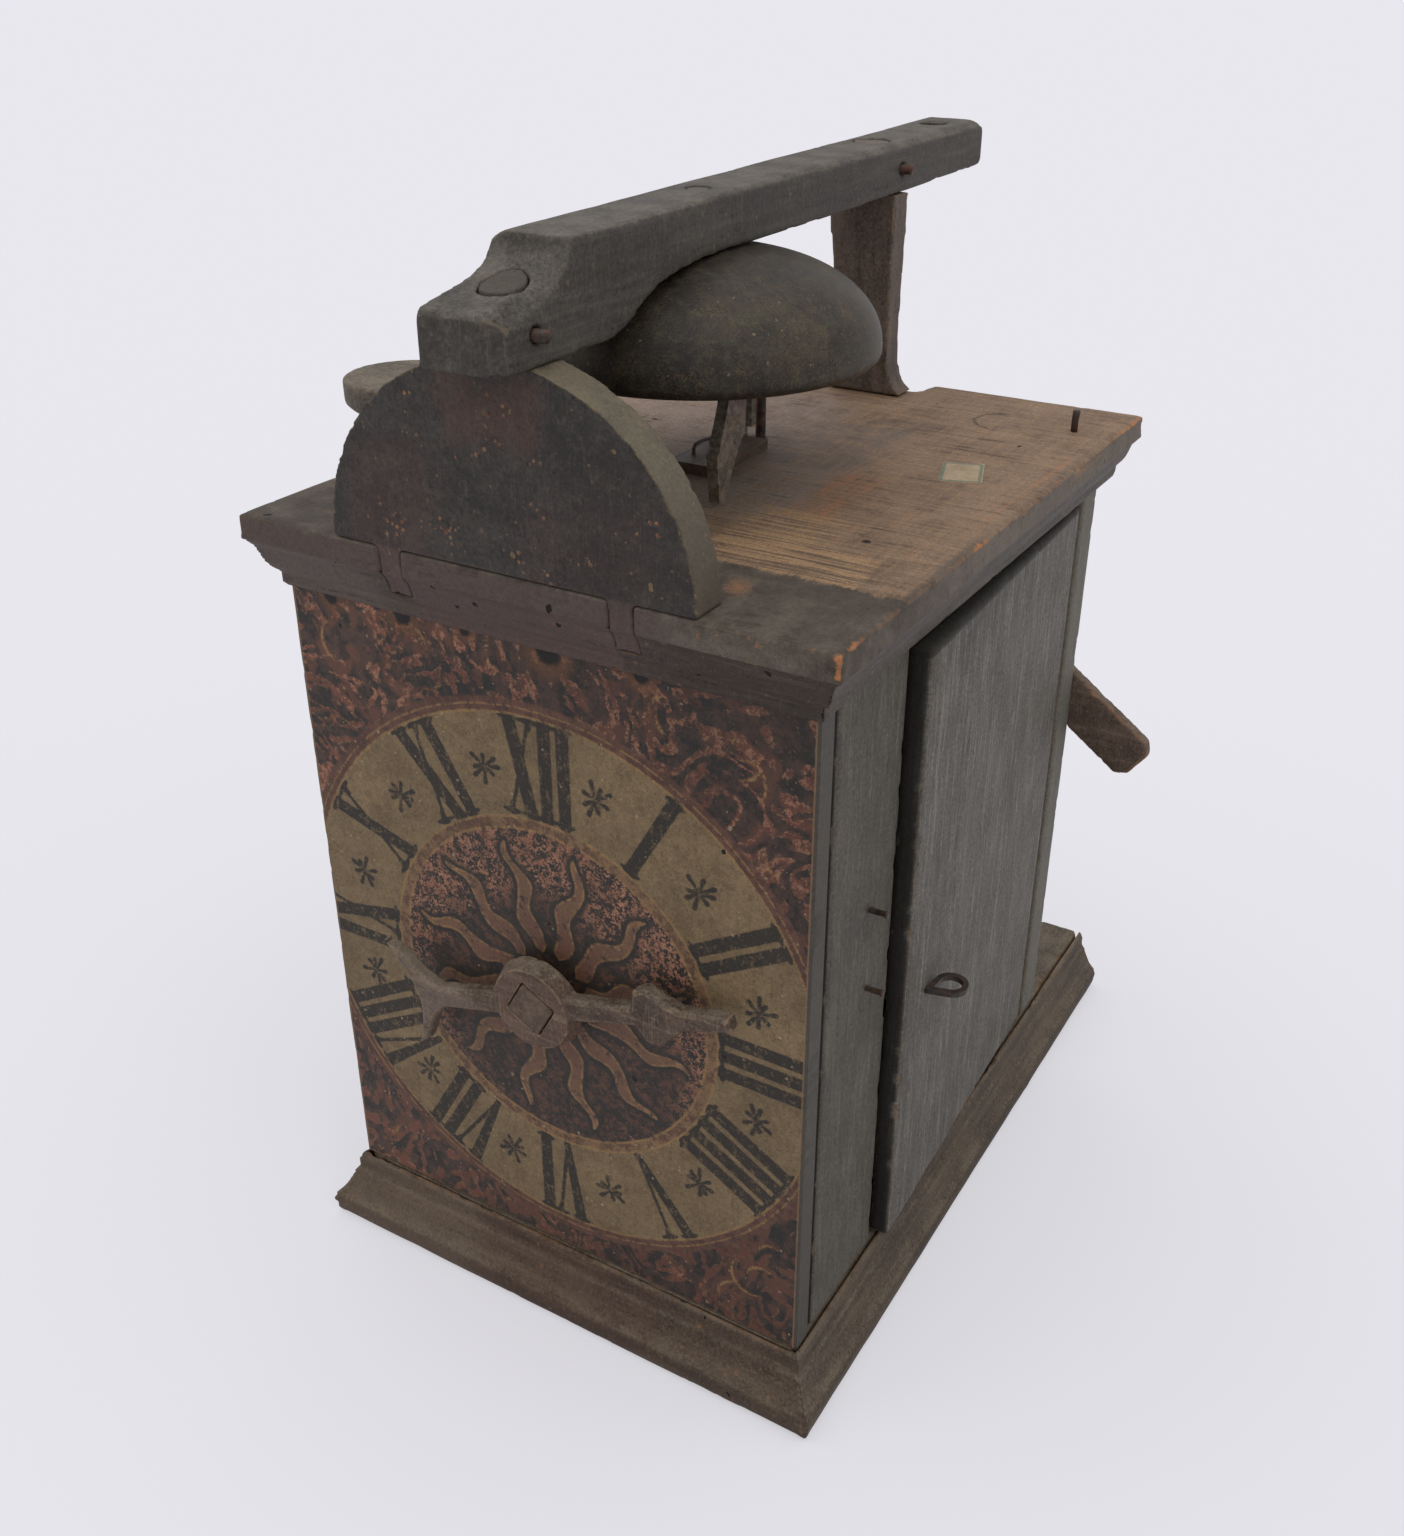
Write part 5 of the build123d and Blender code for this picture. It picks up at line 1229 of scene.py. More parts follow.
@dataclass
class Dial(Assembly):
    """The painted dial board, whose figures are signed distances stored on its mesh."""

    half: float = 115.0
    bottom: float = 33.8
    top: float = 341.6
    thick: float = 13.0
    groove: float = 10.3
    groove_deep: float = 2.2
    rounding: tuple[float, float] = (0.7, 0.9)
    worn_border: float = 2.4
    sharp_angle: float = 35.0
    centre: tuple[float, float] = (0.0, 172.0)
    hole: tuple[float, float, float] = (0.0, 171.4, 10.6)
    cell: float = 0.95
    ring: tuple[float, float] = (79.0, 119.5)
    thick_half: float = 3.0
    thin_half: float = 0.9
    serif_half: float = 0.8
    star_radius: float = 98.0
    star_reach: float = 6.9
    star_arms: int = 8
    flames: int = 12
    flame_span: tuple[float, float] = (20.0, 67.0)
    curls: int = 150
    curls_from: float = 126.0
    corner_curls: tuple[tuple[float, float], ...] = (
        (-92.0, 300.0), (60.0, 305.0), (88.0, 300.0), (-60.0, 312.0), (-97.0, 60.0), (95.0, 62.0)
    )

    def build(self) -> None:
        """Builds and dresses the board."""
        piece = self._board()
        self.dress(piece, "case", "dial_paint", DialPaint().material(), "dial_board")

    def _board(self) -> bpy.types.Object:
        """The board's mesh with its figures.

        Returns:
            The new object, whose points carry the figures' distances.
        """
        columns = np.linspace(-self.half, self.half, round(2 * self.half / self.cell) + 1)
        rows = np.linspace(self.bottom, self.top, round((self.top - self.bottom) / self.cell) + 1)
        across, up = (a.ravel() for a in np.meshgrid(columns, rows))
        border = np.minimum(self.half - np.abs(across), np.minimum(up - self.bottom, self.top - up))
        flat = np.stack([across, across * 0, up], axis=1)
        bite = ramp(lattice(flat, 9.0, 5) * 0.6 + lattice(flat, 3.0, 6) * 0.4, 0.6, 0.8)
        least, more = self.rounding
        curve = least + bite * more
        rounded = curve - np.sqrt(np.maximum(curve**2 - (curve - border) ** 2, 0))
        depth = np.where(border < curve, rounded, 0)
        depth = depth + lattice(flat, 40.0, 8) * 0.35 + lattice(flat, 5.0, 9) * 0.12
        wear = ramp(border, self.worn_border, 0.0)
        width = len(columns)
        layers = {"wear": wear, "chip": bite * wear, **self._figures(across, up)}
        mesh = bmesh.new()
        for name in layers:
            mesh.verts.layers.float.new(name)
        stored = {name: mesh.verts.layers.float[name] for name in layers}
        verts = [mesh.verts.new((x, y, z)) for x, y, z in zip(across, depth, up)]
        hole_x, hole_z, hole_r = self.hole
        from_hole = np.hypot(across - hole_x, up - hole_z)
        for row in range(len(rows) - 1):
            for column in range(width - 1):
                corner = row * width + column
                around = (corner, corner + 1, corner + 1 + width, corner + width)
                if min(from_hole[i] for i in around) > hole_r - 0.5:
                    mesh.faces.new([verts[i] for i in around])
        for name, values in layers.items():
            for vert, value in zip(verts, values):
                vert[stored[name]] = value
        loose = [v for v in mesh.verts if not v.link_faces]
        bmesh.ops.delete(mesh, geom=loose, context="VERTS")
        rim = [e for e in mesh.edges if len(e.link_faces) == 1]
        for vert in {v for e in rim for v in e.verts}:
            away = Vector((vert.co.x - hole_x, 0, vert.co.z - hole_z))
            if away.length < hole_r + 2:
                away = away.normalized() * hole_r
                vert.co.x, vert.co.z = hole_x + away.x, hole_z + away.z
        steps = ((self.groove, 0.0), (self.groove + 0.3, self.groove_deep), (self.thick, 0.0))
        for depth_to, inward in steps:
            grown = bmesh.ops.extrude_edge_only(mesh, edges=rim)["geom"]
            for vert in (v for v in grown if isinstance(v, bmesh.types.BMVert)):
                vert.co.y = depth_to
                if abs(vert.co.x) > self.half - 1.0:
                    vert.co.x -= math.copysign(inward, vert.co.x)
            rim = [e for e in grown if isinstance(e, bmesh.types.BMEdge) and len(e.link_faces) == 1]
        bmesh.ops.triangle_fill(mesh, edges=rim, use_beauty=True)
        bmesh.ops.recalc_face_normals(mesh, faces=mesh.faces)
        bmesh.ops.scale(mesh, vec=(MM, MM, MM), verts=mesh.verts)
        data = bpy.data.meshes.new("dial_board_painted")
        mesh.to_mesh(data)
        mesh.free()
        data.shade_smooth()
        data.set_sharp_from_angle(angle=math.radians(self.sharp_angle))
        made = bpy.data.objects.new("dial_board_painted", data)
        bpy.context.scene.collection.objects.link(made)
        return made

    def _figures(self, across: np.ndarray, up: np.ndarray) -> dict[str, np.ndarray]:
        """Signed distances from every kind of figure, by name.

        Args:
            across: The points' distances to the right.
            up: Their heights.

        Returns:
            For each kind of figure, one distance for each point.
        """
        x, z = across - self.centre[0], up - self.centre[1]
        numeral = np.full(len(x), OUTSIDE)
        star = np.full(len(x), OUTSIDE)
        ray = np.full(len(x), OUTSIDE)
        for hour in range(1, 13):
            right, out = self._turned(x, z, hour * 30)
            for stroke in self._numeral(hour):
                numeral = np.minimum(numeral, stroke.distance(right, out))
            right, out = self._turned(x, z, hour * 30 + 15)
            star = np.minimum(star, self._star(right, out - self.star_radius, hour))
        for flame in range(self.flames):
            right, out = self._turned(x, z, (flame + 0.5) * 360 / self.flames)
            ray = np.minimum(ray, self._flame(right, out, flame))
        scroll, leaf = self._foliage(across, up)
        return {"numeral": numeral, "star": star, "ray": ray, "scroll": scroll, "leaf": leaf}

    @staticmethod
    def _turned(x: np.ndarray, z: np.ndarray, degrees: float) -> tuple[np.ndarray, np.ndarray]:
        """Places to the right of and outward along a direction, clockwise from the top."""
        angle = math.radians(degrees)
        return x * math.cos(angle) - z * math.sin(angle), x * math.sin(angle) + z * math.cos(angle)

    def _numeral(self, hour: int) -> list[Stroke]:
        """The strokes of an hour's figure, with its feet toward the centre.

        Args:
            hour: The hour, from 1 to 12.

        Returns:
            The strokes, across and outward from the centre.
        """
        tens, ones = divmod(hour, 10)
        low = {4: "IIII", 9: "IX"}.get(ones, "V" * (ones >= 5) + "I" * (ones % 5))
        letters = "X" * tens + low
        widths = {"I": 8.2, "V": 14.2, "X": 14.8}
        start = -sum(widths[c] for c in letters) / 2
        inner, outer = self.ring
        thick, thin, serif = self.thick_half, self.thin_half, self.serif_half
        strokes: list[Stroke] = []
        for letter in letters:
            middle = start + widths[letter] / 2
            start += widths[letter]
            if letter == "I":
                strokes.append(Stroke((middle, inner), (middle, outer), thick * 0.92, thick))
                feet = ((middle, inner), (middle, outer))
            elif letter == "V":
                strokes.append(Stroke((middle - 5.6, outer), (middle, inner), thick, thick * 0.55))
                strokes.append(Stroke((middle + 5.2, outer), (middle, inner), thin, thin))
                feet = ((middle - 5.4, outer), (middle + 5.2, outer))
            else:
                strokes.append(Stroke((middle - 4.6, outer), (middle + 4.6, inner), thick, thick))
                strokes.append(Stroke((middle + 4.8, outer), (middle - 4.8, inner), thin, thin))
                feet = tuple((middle + side * 4.8, end) for side in (-1, 1) for end in (inner, outer))
            for x, y in feet:
                bow = 4.0 if y == outer else -4.0
                for side in (-1, 1):
                    strokes.append(Stroke((x, y), (x + side * 3.9, y - bow * 0.12), thick * 0.5, serif))
                strokes.append(Stroke((x, y - bow * 0.15), (x, y - bow), serif * 2.4, serif))
        return strokes

    def _star(self, right: np.ndarray, out: np.ndarray, hour: int) -> np.ndarray:
        """A brush-drawn star of uneven arms.

        Args:
            right: The places' distances to the right of the star's middle.
            out: Their distances outward of it.
            hour: The hour before the star, which sets how uneven it is.

        Returns:
            One distance for each place, below 0 inside.
        """
        shape = np.full(len(right), OUTSIDE)
        for arm in range(self.star_arms):
            angle = math.radians(arm * 360 / self.star_arms + 9 * math.sin(hour * 2.3 + arm * 1.7) + 8)
            reach = self.star_reach * (0.88 + 0.2 * math.sin(arm * 2.1 + hour))
            tip = (math.sin(angle) * reach, math.cos(angle) * reach)
            root = (math.sin(angle) * 0.8, math.cos(angle) * 0.8)
            shape = np.minimum(shape, Stroke(root, tip, 0.45, 1.15).distance(right, out))
        return shape

    def _flame(self, right: np.ndarray, out: np.ndarray, flame: int) -> np.ndarray:
        """A wavy flame that narrows outward.

        Args:
            right: The places' distances to the right of the flame's line.
            out: Their distances outward from the centre.
            flame: The flame's number, which sets how it waves.

        Returns:
            One distance for each place, below 0 inside.
        """
        low, high = self.flame_span
        part = np.clip((out - low) / (high - low), 0, 1)
        wave = 3.2 * np.sin(part * 2 * math.pi * 1.7 + (flame % 2) * 1.1 + 0.4) * (0.5 + part * 0.5)
        half = 4.9 * (1 - part) ** 0.5 * (0.7 + 0.3 * ramp(part, 0, 0.3))
        half = half * (1 + 0.16 * np.sin(part * 16 + flame))
        beyond = np.maximum(np.maximum(low - out, out - high), 0)
        outside = np.abs(right - wave) - half
        return np.hypot(np.maximum(outside, 0), beyond) + np.minimum(outside, 0)

    def _foliage(self, across: np.ndarray, up: np.ndarray) -> tuple[np.ndarray, np.ndarray]:
        """Curling stems and their yellow highlights outside the ring.

        Args:
            across: The points' distances to the right.
            up: Their heights.

        Returns:
            The distances from the stems and from the highlights.
        """
        chance = np.random.default_rng(12)
        scroll = np.full(len(across), OUTSIDE)
        leaf = np.full(len(across), OUTSIDE)
        spots = list(self.corner_curls)
        for _ in range(self.curls):
            x = float(chance.uniform(-108, 108))
            spots.append((x, float(chance.uniform(38, 336))))
        marked = len(self.corner_curls)
        for index, (x, z) in enumerate(spots):
            if index >= marked and math.hypot(x - self.centre[0], z - self.centre[1]) < self.curls_from:
                continue
            radius = float(chance.uniform(5.0, 14.0))
            turn, sweep = float(chance.uniform(0, 6.283)), float(chance.uniform(1.6, 3.6))
            angle = (np.arctan2(up - z, across - x) - turn) % (2 * math.pi)
            part = np.clip(angle / sweep, 0, 1)
            ring = radius * (1 - part * 0.45)
            beyond = np.maximum(angle - sweep, 0) * radius
            width = 2.6 * np.sin(np.clip(part, 0.05, 0.95) * math.pi)
            from_ring = np.hypot(across - x, up - z) - ring
            scroll = np.minimum(scroll, np.abs(from_ring) + beyond - width)
            if index < marked or index % 5 == 0:
                leaf = np.minimum(leaf, np.abs(from_ring + 1.1) + beyond - width * 0.28)
        return scroll, leaf


@dataclass
class Crest(Assembly):
    """The half-round board over the dial."""

    wear: Wear = Wear(
        0.9, rounding=2, waves=0.4, chips=1.0, chip_size=5.0,
        seams=(*LEG_SIDES, CREST_FOOT, BEAM_FOOT),
    )

    def build(self) -> None:
        """Builds and dresses the board."""
        finish = PaintedWood(
            "crest_paint_aged", paint(64, 60, 57), paint(44, 41, 39), paint(92, 84, 74),
            paint(126, 104, 74),
            Grain.NONE, hairs=Grain.ALONG_Z, patch=22.0, scuffs=0.4, worn=0.35, dust=paint(124, 114, 90),
            dusting=0.8, specks=0.04, flaking=0.75,
            stains=(
                Stain((-60.0, -FAR, 300.0), (60.0, -2.0, 352.6), paint(82, 66, 62), 0.9, 1.0, 0.6),
                Stain((-99.0, -10.3, 352.0), (99.0, 20.0, 423.0), paint(104, 95, 80), 0.6, 0.5, 0.4, True),
                Stain((-20.0, -20.0, 424.2), (20.0, 20.0, 480.0), paint(78, 72, 65), 0.95, 0.6, 0.3, True),
                Stain((-66.0, -FAR, 354.0), (-30.0, FAR, 392.0), paint(84, 60, 54), 0.3, 8.0, 16.0),
                Stain((8.0, -FAR, 352.0), (60.0, FAR, 384.0), paint(80, 58, 52), 0.2, 9.0, 18.0),
                Stain((26.0, -FAR, 352.0), (90.0, -2.0, 404.0), paint(46, 41, 38), 0.4, 10.0, 8.0),
                Stain((-22.0, -FAR, 398.0), (16.0, FAR, 418.0), paint(96, 66, 52), 0.35, 6.0, 14.0),
            ),
            rings=(Ring("Z", (0.0, -3.0), 8.0, 0.6, paint(34, 31, 28), 0.6),),
        )
        piece = AgedCopy("lunette", self.wear, 53).build()
        self.dress(piece, "case", "crest_paint", finish.material(), "lunette")


@dataclass
class BellFrame(Assembly):
    """The beam, its post, the bell and the bolt and pins that hold them."""

    beam_wear: Wear = Wear(1.1, rounding=2, waves=0.5, chips=0.5, chip_size=8.0, seams=(BEAM_FOOT,))
    post_wear: Wear = Wear(1.1, rounding=1, waves=0.5, chips=0.4)
    bell_y: float = 115.0
    rim_z: float = 401.0
    seat_z: float = 441.2
    rim_r: float = 68.6
    widest_r: float = 70.8
    belly_rise: float = 3.0
    wall: float = 3.0
    bore_r: float = 4.05
    crown_r: float = 8.0
    bell_sides: int = 144
    bell_rows: int = 26
    uneven: tuple[float, float] = (0.0025, 0.0012)
    pins: tuple[tuple[float, float], ...] = ((-8.0, 433.6), (262.0, 452.4))
    pin_r: float = 2.25
    pin_out: float = 4.6
    beam_half: float = 16.0
    tenons: tuple[tuple[float, float], ...] = ((0.0, -3.0), (0.0, 262.0))
    tenon_r: float = 7.4
    bolt_r: float = 4.0

    def build(self) -> None:
        """Builds and dresses the bell and its frame."""
        beam = PaintedWood(
            "beam_wood_aged", paint(78, 73, 67), paint(54, 50, 46), paint(104, 98, 90), paint(98, 86, 72),
            Grain.ALONG_Y, patch=40.0, scuffs=0.5, worn=0.35, dust=paint(130, 123, 112),
            dusting=0.45, specks=0.03, relief=0.4,
            rings=(
                *(Ring("Z", at, self.tenon_r, 0.5, paint(40, 37, 33), 0.42) for at in self.tenons),
                Ring("Z", (0.0, self.bell_y), self.bolt_r + 0.5, 1.2, paint(34, 30, 26), 0.6),
                # painted shadow: a dark ring round each cross pin on the beam's sides
                *(Ring("X", at, self.pin_r + 0.6, 0.9, paint(26, 22, 19), 0.75) for at in self.pins),
            ),
        ).material()
        worn = AgedCopy("bell_beam", self.beam_wear, 61).build()
        self.dress(worn, "case", "beam_wood", beam, "bell_beam")
        post = PaintedWood(
            "post_wood_aged", paint(106, 92, 82), paint(66, 58, 52), paint(132, 116, 102),
            paint(128, 104, 80),
            Grain.ALONG_Z, patch=24.0, scuffs=0.45, worn=0.5, dusting=0.2, specks=0.06,
        ).material()
        worn = AgedCopy("bell_post", self.post_wear, 67).build()
        self.dress(worn, "case", "post_wood", post, "bell_post")
        self.dress(self._bell(), "case", "bell_metal", BellBronze().material(), "bell")
        rust = AgedIron("bolt_iron_aged", rusty=0.7).material()
        self.cover(("bell_bolt",), rust, 0.3)
        nail = AgedIron("pin_iron_aged", rust=paint(96, 60, 42), rusty=0.8).material()
        for index, (y, z) in enumerate(self.pins):
            start, end, r = 0.4 - self.beam_half, self.beam_half + self.pin_out, self.pin_r
            path = [(start, y, z), (0, y, z), (end - 0.7, y, z), (end, y + 0.2, z - 0.2)]
            pin = swept(f"cross_pin_{index + 1}", path, [r, r, r, r * 0.75])
            self.dress(pin, "case", "iron", nail)

    def _bell(self) -> bpy.types.Object:
        """The bell as one turned shell.

        Returns:
            The new object.
        """
        outside = self._side(self.rim_r, self.widest_r, self.seat_z)
        inside = self._side(self.rim_r - self.wall, self.widest_r - self.wall, self.seat_z - self.wall)
        bore = [(self.bore_r, self.seat_z), (self.bore_r, self.seat_z - self.wall)]
        outline = outside + bore + inside[::-1]
        sides = self.bell_sides
        points, faces = [], []
        for radius, height in outline:
            for step in range(sides):
                angle = 2 * math.pi * step / sides
                slow = self.uneven[0] * (1 + math.sin(3 * angle + 1.0))
                quick = self.uneven[1] * (1 + math.sin(7 * angle + height * 0.2))
                reach = radius * (1 - slow - quick if radius > self.crown_r + 2 else 1)
                points.append((reach * math.cos(angle), self.bell_y + reach * math.sin(angle), height))
        for ring in range(len(outline)):
            below = (ring + 1) % len(outline)
            for step in range(sides):
                a, b = step, (step + 1) % sides
                faces.append((ring * sides + a, ring * sides + b, below * sides + b, below * sides + a))
        return link_mesh("bell_cast", points, faces)

    def _side(self, rim: float, widest: float, crown: float) -> list[tuple[float, float]]:
        """The bell's outline from the rim to the crown.

        Args:
            rim: The radius at the rim.
            widest: The radius where it is widest.
            crown: The height of its top.

        Returns:
            Radius and height of each point.
        """
        belly = self.rim_z + self.belly_rise
        between = ((rim + widest) / 2 + 0.4, self.rim_z + self.belly_rise * 0.4)
        points = [(rim, self.rim_z), between, (widest, belly)]
        rise = crown - belly
        for step in range(1, self.bell_rows):
            height = rise * (1 - (1 - step / self.bell_rows) ** 1.9)
            points.append((widest * (1 - (height / rise) ** 2.2) ** (1 / 2.3), belly + height))
        return points + [(self.crown_r, crown)]


@dataclass
class Hand(Assembly):
    """The carved hour hand on its wooden arbor."""

    wear: Wear = Wear(0.7, rounding=2, waves=0.35, chips=0.6, chip_size=3.5)

    def build(self) -> None:
        """Builds and dresses the hand."""
        finish = PaintedWood(
            "hand_wood_aged", paint(94, 79, 67), paint(54, 43, 37), paint(134, 116, 98),
            paint(140, 116, 92),
            Grain.ALONG_X, patch=12.0, scuffs=0.6, worn=0.6, dusting=0.4, specks=0.03, relief=0.26,
            stains=(
                Stain((-120.0, -FAR, 120.0), (-34.0, FAR, 260.0), paint(120, 106, 94), 0.45, 8.0, 6.0),
                Stain((-19.0, -FAR, 152.0), (19.0, FAR, 190.0), paint(112, 84, 72), 0.3, 4.0, 8.0),
            ),
        ).material()
        worn = AgedCopy("hour_hand", self.wear, 71).build()
        self.dress(worn, "hour_hand", "hand_wood", finish, "hour_hand")
        arbor = BareWood(
            "arbor_wood_aged", paint(104, 86, 72), paint(72, 58, 49), Grain.ALONG_Y, dirty=0.5
        )
        piece = AgedCopy("hour_arbor", self.wear, 73).build()
        self.dress(piece, "hour_hand", "hand_wood", arbor.material(), "hour_arbor")


@dataclass
class Doors(Assembly):
    """The two side doors with their wires and ring pulls."""

    wear: Wear = Wear(1.7, rounding=1, waves=0.4, chips=0.9)
    draws: dict[str, int] = field(default_factory=lambda: {"left": 83, "right": 79})

    def build(self) -> None:
        """Builds and dresses both doors."""
        finish = PaintedWood(
            "door_paint_aged", paint(99, 94, 87), paint(64, 61, 55), paint(144, 138, 128),
            paint(104, 86, 68),
            Grain.ALONG_Z, patch=30.0, streaky=0.1, scuffs=0.65, worn=0.35, dusting=0.1,
            specks=0.04, grit=0.3,
            stains=(
                # painted shade under the cornice: a darker band over the door's top front that fades
                # toward the back, and the door's top edge in dark paint with painted shade
                Stain((-FAR, 60.0, 306.0), (FAR, 150.0, 330.0), paint(58, 55, 49), 0.5, 8.0, 12.0),
                Stain((-FAR, 60.0, 316.4), (FAR, FAR, 330.0), paint(36, 34, 30), 0.85, 0.6, 0.3, True),
                Stain((-FAR, 62.0, -FAR), (FAR, 74.6, FAR), paint(31, 29, 25), 0.95, 0.5, 0.05, True),
                Stain((-FAR, 254.8, -FAR), (FAR, 270.0, FAR), paint(24, 22, 19), 0.9, 0.5, 0.2, True),
            ),
        ).material()
        iron = AgedIron("door_iron_aged", iron=paint(58, 54, 50), rusty=0.25).material()
        for side in ("left", "right"):
            body = f"door_{side}"
            draw = self.draws[side]
            self.dress(AgedCopy(body, self.wear, draw).build(), body, "side_paint", finish, body)
            self.cover((f"door_wire_{side}", f"ring_pull_{side}"), iron)


@dataclass
class HammerWork(Assembly):
    """The hammer, its check post and the block on the top board."""

    staple_r: float = 0.8
    block_x: float = -10.0
    block_top: float = 356.5

    def build(self) -> None:
        """Dresses the hammer and makes the staple on its block."""
        plate = AgedIron(
            "hammer_iron_aged", iron=paint(134, 124, 110), rust=paint(124, 94, 70),
            dark=paint(82, 74, 64), rusty=0.3, tool_marks=True,
        ).material()
        self.cover(("hammer_arm", "hammer_check"), plate, 0.35)
        rod = AgedIron("rod_iron_aged", rust=paint(112, 70, 44), rusty=0.7).material()
        self.cover(("hammer_rod",), rod)
        block = BareWood(
            "block_wood_aged", paint(104, 86, 68), paint(70, 58, 48), Grain.ALONG_Y, dirty=0.6
        )
        self.cover(("strike_block",), block.material(), 0.6)
        x, top, r = self.block_x, self.block_top, self.staple_r
        path = [(x, 128, top - 3), (x, 128, top + 2.2), (x, 129.4, top + 3.4), (x, 135, top + 3.8),
                (x, 140.6, top + 3.4), (x, 142, top + 2.2), (x, 142, top - 3)]
        self.dress(swept("block_staple", path, [r] * len(path), 12), "case", "iron", rod)


@dataclass
class Levers(Assembly):
    """The paddle on its peg and the turn bar on the back."""

    paddle_wear: Wear = Wear(1.2, rounding=2, waves=0.5, chips=0.8)
    bar_wear: Wear = Wear(1.2, rounding=2, waves=0.4, chips=0.8)

    def build(self) -> None:
        """Builds and dresses both levers."""
        paddle = PaintedWood(
            "paddle_wood_aged", paint(96, 87, 77), paint(66, 59, 52), paint(128, 117, 102),
            paint(120, 102, 82),
            Grain.ALONG_X, patch=26.0, scuffs=0.55, worn=0.5, dusting=0.4, specks=0.05,
        ).material()
        worn = AgedCopy("paddle", self.paddle_wear, 83).build()
        self.dress(worn, "paddle", "beam_wood", paddle, "paddle")
        bar = PaintedWood(
            "turn_bar_wood_aged", paint(104, 88, 76), paint(72, 58, 50), paint(130, 114, 96),
            paint(140, 100, 74),
            Grain.ALONG_X, patch=20.0, scuffs=0.5, worn=0.7, dusting=0.3, specks=0.05,
        ).material()
        worn = AgedCopy("turn_bar", self.bar_wear, 89).build()
        self.dress(worn, "turn_bar", "post_wood", bar, "turn_bar")
        pegs = BareWood("peg_wood_aged", paint(124, 100, 76), paint(88, 70, 54), Grain.NONE)
        self.cover(("paddle_peg", "turn_peg"), pegs.material(), 0.5)


@dataclass
class Movement(Assembly):
    """The wheel trains, their uprights and the anchor, inside the case."""

    def build(self) -> None:
        """Dresses the CAD forms of the movement."""
        frame_wood = BareWood("upright_wood_aged", paint(132, 104, 76), paint(98, 74, 54), Grain.ALONG_Z)
        uprights = ("upright_front", "upright_middle", "upright_rear", "hammer_bracket")
        self.cover(uprights, frame_wood.material(), 0.5)
        wheel_wood = BareWood(
            "wheel_wood_aged", paint(146, 108, 70), paint(112, 80, 52), Grain.ALONG_X, dirty=0.35
        )
        wheels = [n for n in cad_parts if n.endswith("_wheel") or n == "fly_vane"]
        self.cover(sorted(wheels), wheel_wood.material(), 0.2)
        stick_wood = BareWood(
            "arbor_stick_wood_aged", paint(138, 106, 74), paint(104, 78, 54), Grain.ALONG_Y
        )
        sticks = [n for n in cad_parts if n.endswith("_arbor") and n != "hour_arbor"]
        self.cover(sorted(sticks), stick_wood.material(), 0.2)
        self.cover(("anchor", "count_stud"), AgedIron("anchor_iron_aged", rusty=0.3).material(), 0.2)


@dataclass
class SmallThings(Assembly):
    """Nails, wire pins and the blank label."""

    label: tuple[tuple[float, float], ...] = ((76.3, 183.0), (92.4, 188.7), (100.6, 164.9), (84.1, 159.0))
    top_face: float = 352.1
    nail: tuple[float, float] = (107.6, 254.1)
    paper_thick: float = 0.35
    paper_sunk: float = 0.32
    curl: float = 0.5

    def build(self) -> None:
        """Builds and dresses the small pieces."""
        iron = AgedIron("nail_iron_aged", rust=paint(82, 58, 44), rusty=0.8).material()
        x, y = self.nail
        top = self.top_face
        path = [(x, y, top - 4), (x, y, top + 5), (x + 0.3, y, top + 8.6), (x + 0.3, y, top + 9.2)]
        self.dress(swept("top_nail", path, [1.5, 1.5, 1.7, 1.2]), "case", "iron", iron)
        for index, (y, z) in enumerate(STILE_PINS):
            path = [(111.0, y, z), (116.0, y, z), *((x, y, z + 0.2) for x in (121.2, 122.0, 122.4))]
            pin = swept(f"stile_pin_{index + 1}", path, [1.15, 1.15, 1.15, 1.7, 1.1])
            self.dress(pin, "case", "iron", iron)
        self.dress(self._label(), "case", "top_wood", OldPaper().material())

    def _label(self) -> bpy.types.Object:
        """A thin sheet with slightly lifted corners, which lies on the top board.

        Returns:
            The new object, whose points carry their distance from the sheet's border.
        """
        steps = 16
        a, b, c, d = (Vector((x, y)) for x, y in self.label)
        size = ((b - a).length, (d - a).length)
        points, insets = [], []
        for side in (self.paper_thick, 0.0):
            for row in range(steps + 1):
                for column in range(steps + 1):
                    u, v = column / steps, row / steps
                    place = a.lerp(b, u).lerp(d.lerp(c, u), v)
                    lift = self.curl * max(0.0, abs(u - 0.5) + abs(v - 0.5) - 0.72) ** 1.3
                    points.append((place.x, place.y, self.top_face - self.paper_sunk + side + lift))
                    insets.append(min(u * size[0], (1 - u) * size[0], v * size[1], (1 - v) * size[1]))
        faces = []
        layer = (steps + 1) ** 2
        for row in range(steps):
            for column in range(steps):
                i = row * (steps + 1) + column
                faces.append((i, i + steps + 1, i + steps + 2, i + 1))
                faces.append((layer + i, layer + i + 1, layer + i + steps + 2, layer + i + steps + 1))
        rim = list(range(steps + 1))
        rim += [(steps + 1) * (r + 1) + steps for r in range(steps)]
        rim += [layer - 1 - i for i in range(1, steps + 1)]
        rim += [layer - (steps + 1) * (r + 1) for r in range(1, steps)]
        for i, j in zip(rim, rim[1:] + rim[:1]):
            faces.append((i, j, j + layer, i + layer))
        made = link_mesh("paper_label", points, faces)
        values = made.data.attributes.new("inset", "FLOAT", "POINT")
        values.data.foreach_set("value", np.array(insets, np.float32))
        return made


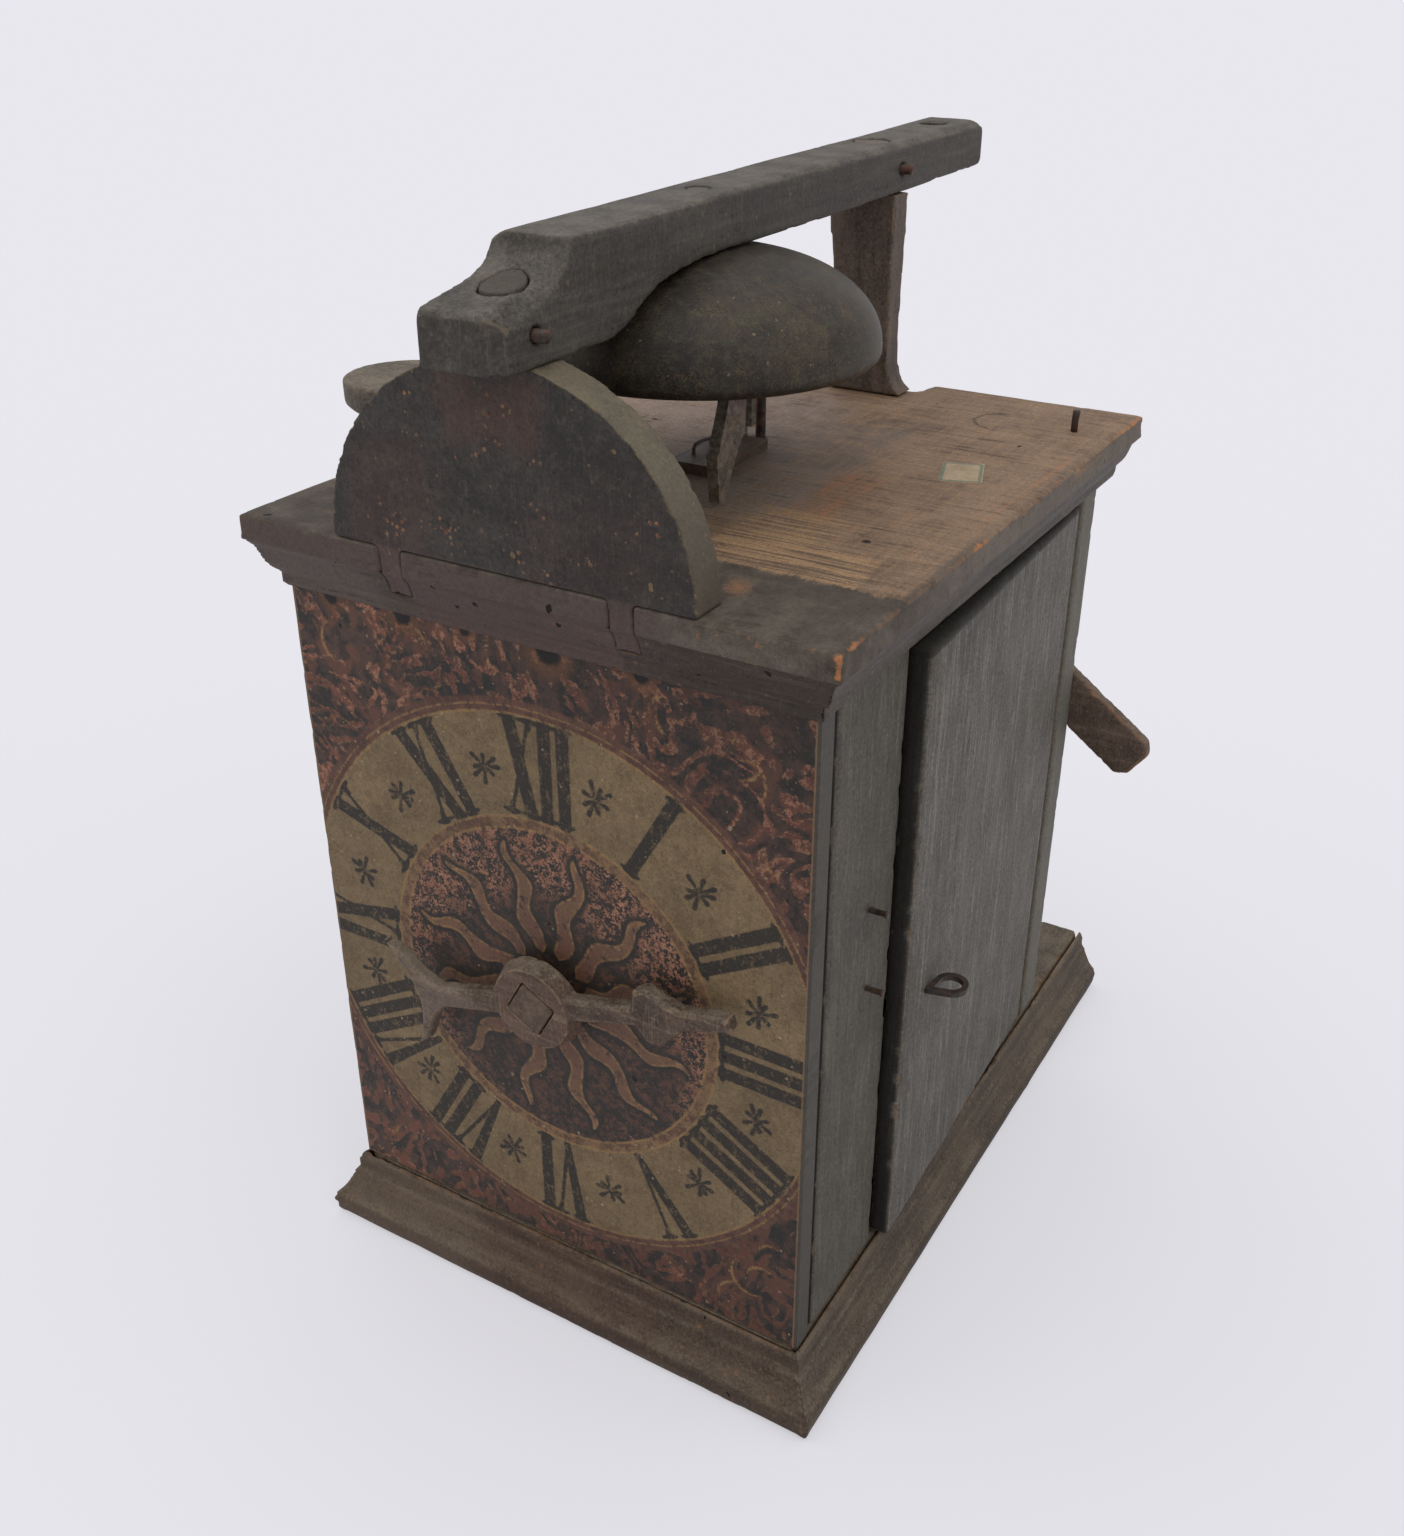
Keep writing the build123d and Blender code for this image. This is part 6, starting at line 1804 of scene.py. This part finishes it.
@dataclass
class Studio:
    """The pale floor, the soft light and the camera."""

    floor_half: float = 60.0
    floor_z: float = -0.2
    floor_colour: Colour = (0.805, 0.795, 0.84)
    floor_evenness: float = 0.55
    sky: Colour = (0.97, 0.98, 1.0)
    sky_strength: float = 0.62
    sun_strength: float = 0.72
    sun_width: float = 70.0
    suns: tuple[tuple[str, Point], ...] = (
        ("soft_left", (-0.35, -0.15, 0.9)), ("soft_right", (0.45, -0.05, 0.9))
    )
    eye: Point = (0.30725, -0.39435, 0.54301)
    turn: Point = (61.454, 0.028, 30.947)
    lens: float = 35.98

    def build(self) -> None:
        """Builds the floor, the light and the camera."""
        self._floor()
        self._world()
        self._lamps()
        self._camera()
        settings = bpy.context.scene.view_settings
        settings.view_transform = "Standard"

    def _floor(self) -> None:
        """A very large plain floor."""
        h = self.floor_half / MM
        corners = [(x, y, self.floor_z) for x, y in ((-h, -h), (h, -h), (h, h), (-h, h))]
        floor = link_mesh("floor", corners, [(0, 1, 2, 3)])
        s = Shader("floor_pale")
        lit = s.node("ShaderNodeBsdfDiffuse", {}, {"Color": self.floor_colour})
        even = s.node("ShaderNodeEmission", {}, {"Color": self.floor_colour, "Strength": 1.0})
        seen = s.node("ShaderNodeLightPath", {}, {}, "Is Camera Ray")
        both = s.node("ShaderNodeMixShader", {}, {0: seen * self.floor_evenness, 1: lit, 2: even})
        s.node("ShaderNodeOutputMaterial", {}, {"Surface": both})
        floor.data.materials.append(s.material)

    def _world(self) -> None:
        """A soft even sky, seen as the pale background."""
        world = bpy.data.worlds.new("soft_sky")
        bpy.context.scene.world = world
        world.use_nodes = True
        tree = NodeTree(world.node_tree)
        camera, glossy, through = (
            tree.node("ShaderNodeLightPath", {}, {}, f"Is {ray} Ray")
            for ray in ("Camera", "Glossy", "Transmission")
        )
        lights = {"Color": self.sky, "Strength": self.sky_strength}
        light = tree.node("ShaderNodeBackground", {}, lights)
        seen = tree.node("ShaderNodeBackground", {}, {"Color": self.floor_colour, "Strength": 1.0})
        share = camera.most(glossy).most(through)
        both = tree.node("ShaderNodeMixShader", {}, {0: share, 1: light, 2: seen})
        tree.node("ShaderNodeOutputWorld", {}, {"Surface": both})

    def _lamps(self) -> None:
        """Two wide soft lamps from above, a little to the left and to the right."""
        for name, toward in self.suns:
            lamp = bpy.data.lights.new(name, "SUN")
            lamp.energy = self.sun_strength
            lamp.angle = math.radians(self.sun_width)
            made = bpy.data.objects.new(name, lamp)
            made.rotation_euler = Vector(toward).to_track_quat("Z", "Y").to_euler()
            bpy.context.scene.collection.objects.link(made)

    def _camera(self) -> None:
        """The camera at the photograph's viewing angle."""
        data = bpy.data.cameras.new("camera")
        data.lens = self.lens
        data.sensor_width = 36.0
        data.clip_start, data.clip_end = 0.01, 200.0
        made = bpy.data.objects.new("camera", data)
        made.location = self.eye
        made.rotation_euler = tuple(math.radians(a) for a in self.turn)
        bpy.context.scene.collection.objects.link(made)
        bpy.context.scene.camera = made


def main() -> None:
    """Builds every sub-assembly in order, then the floor, the light and the camera."""
    logging.basicConfig(level=logging.INFO, format="%(name)s %(message)s")
    assemblies = (
        Case(), Dial(), Crest(), BellFrame(), Hand(), Doors(), HammerWork(), Levers(), Movement(),
        SmallThings(),
    )
    for assembly in assemblies:
        log.info("building %s", type(assembly).__name__)
        assembly.build()
    Studio().build()


if __name__ == "__main__":
    main()
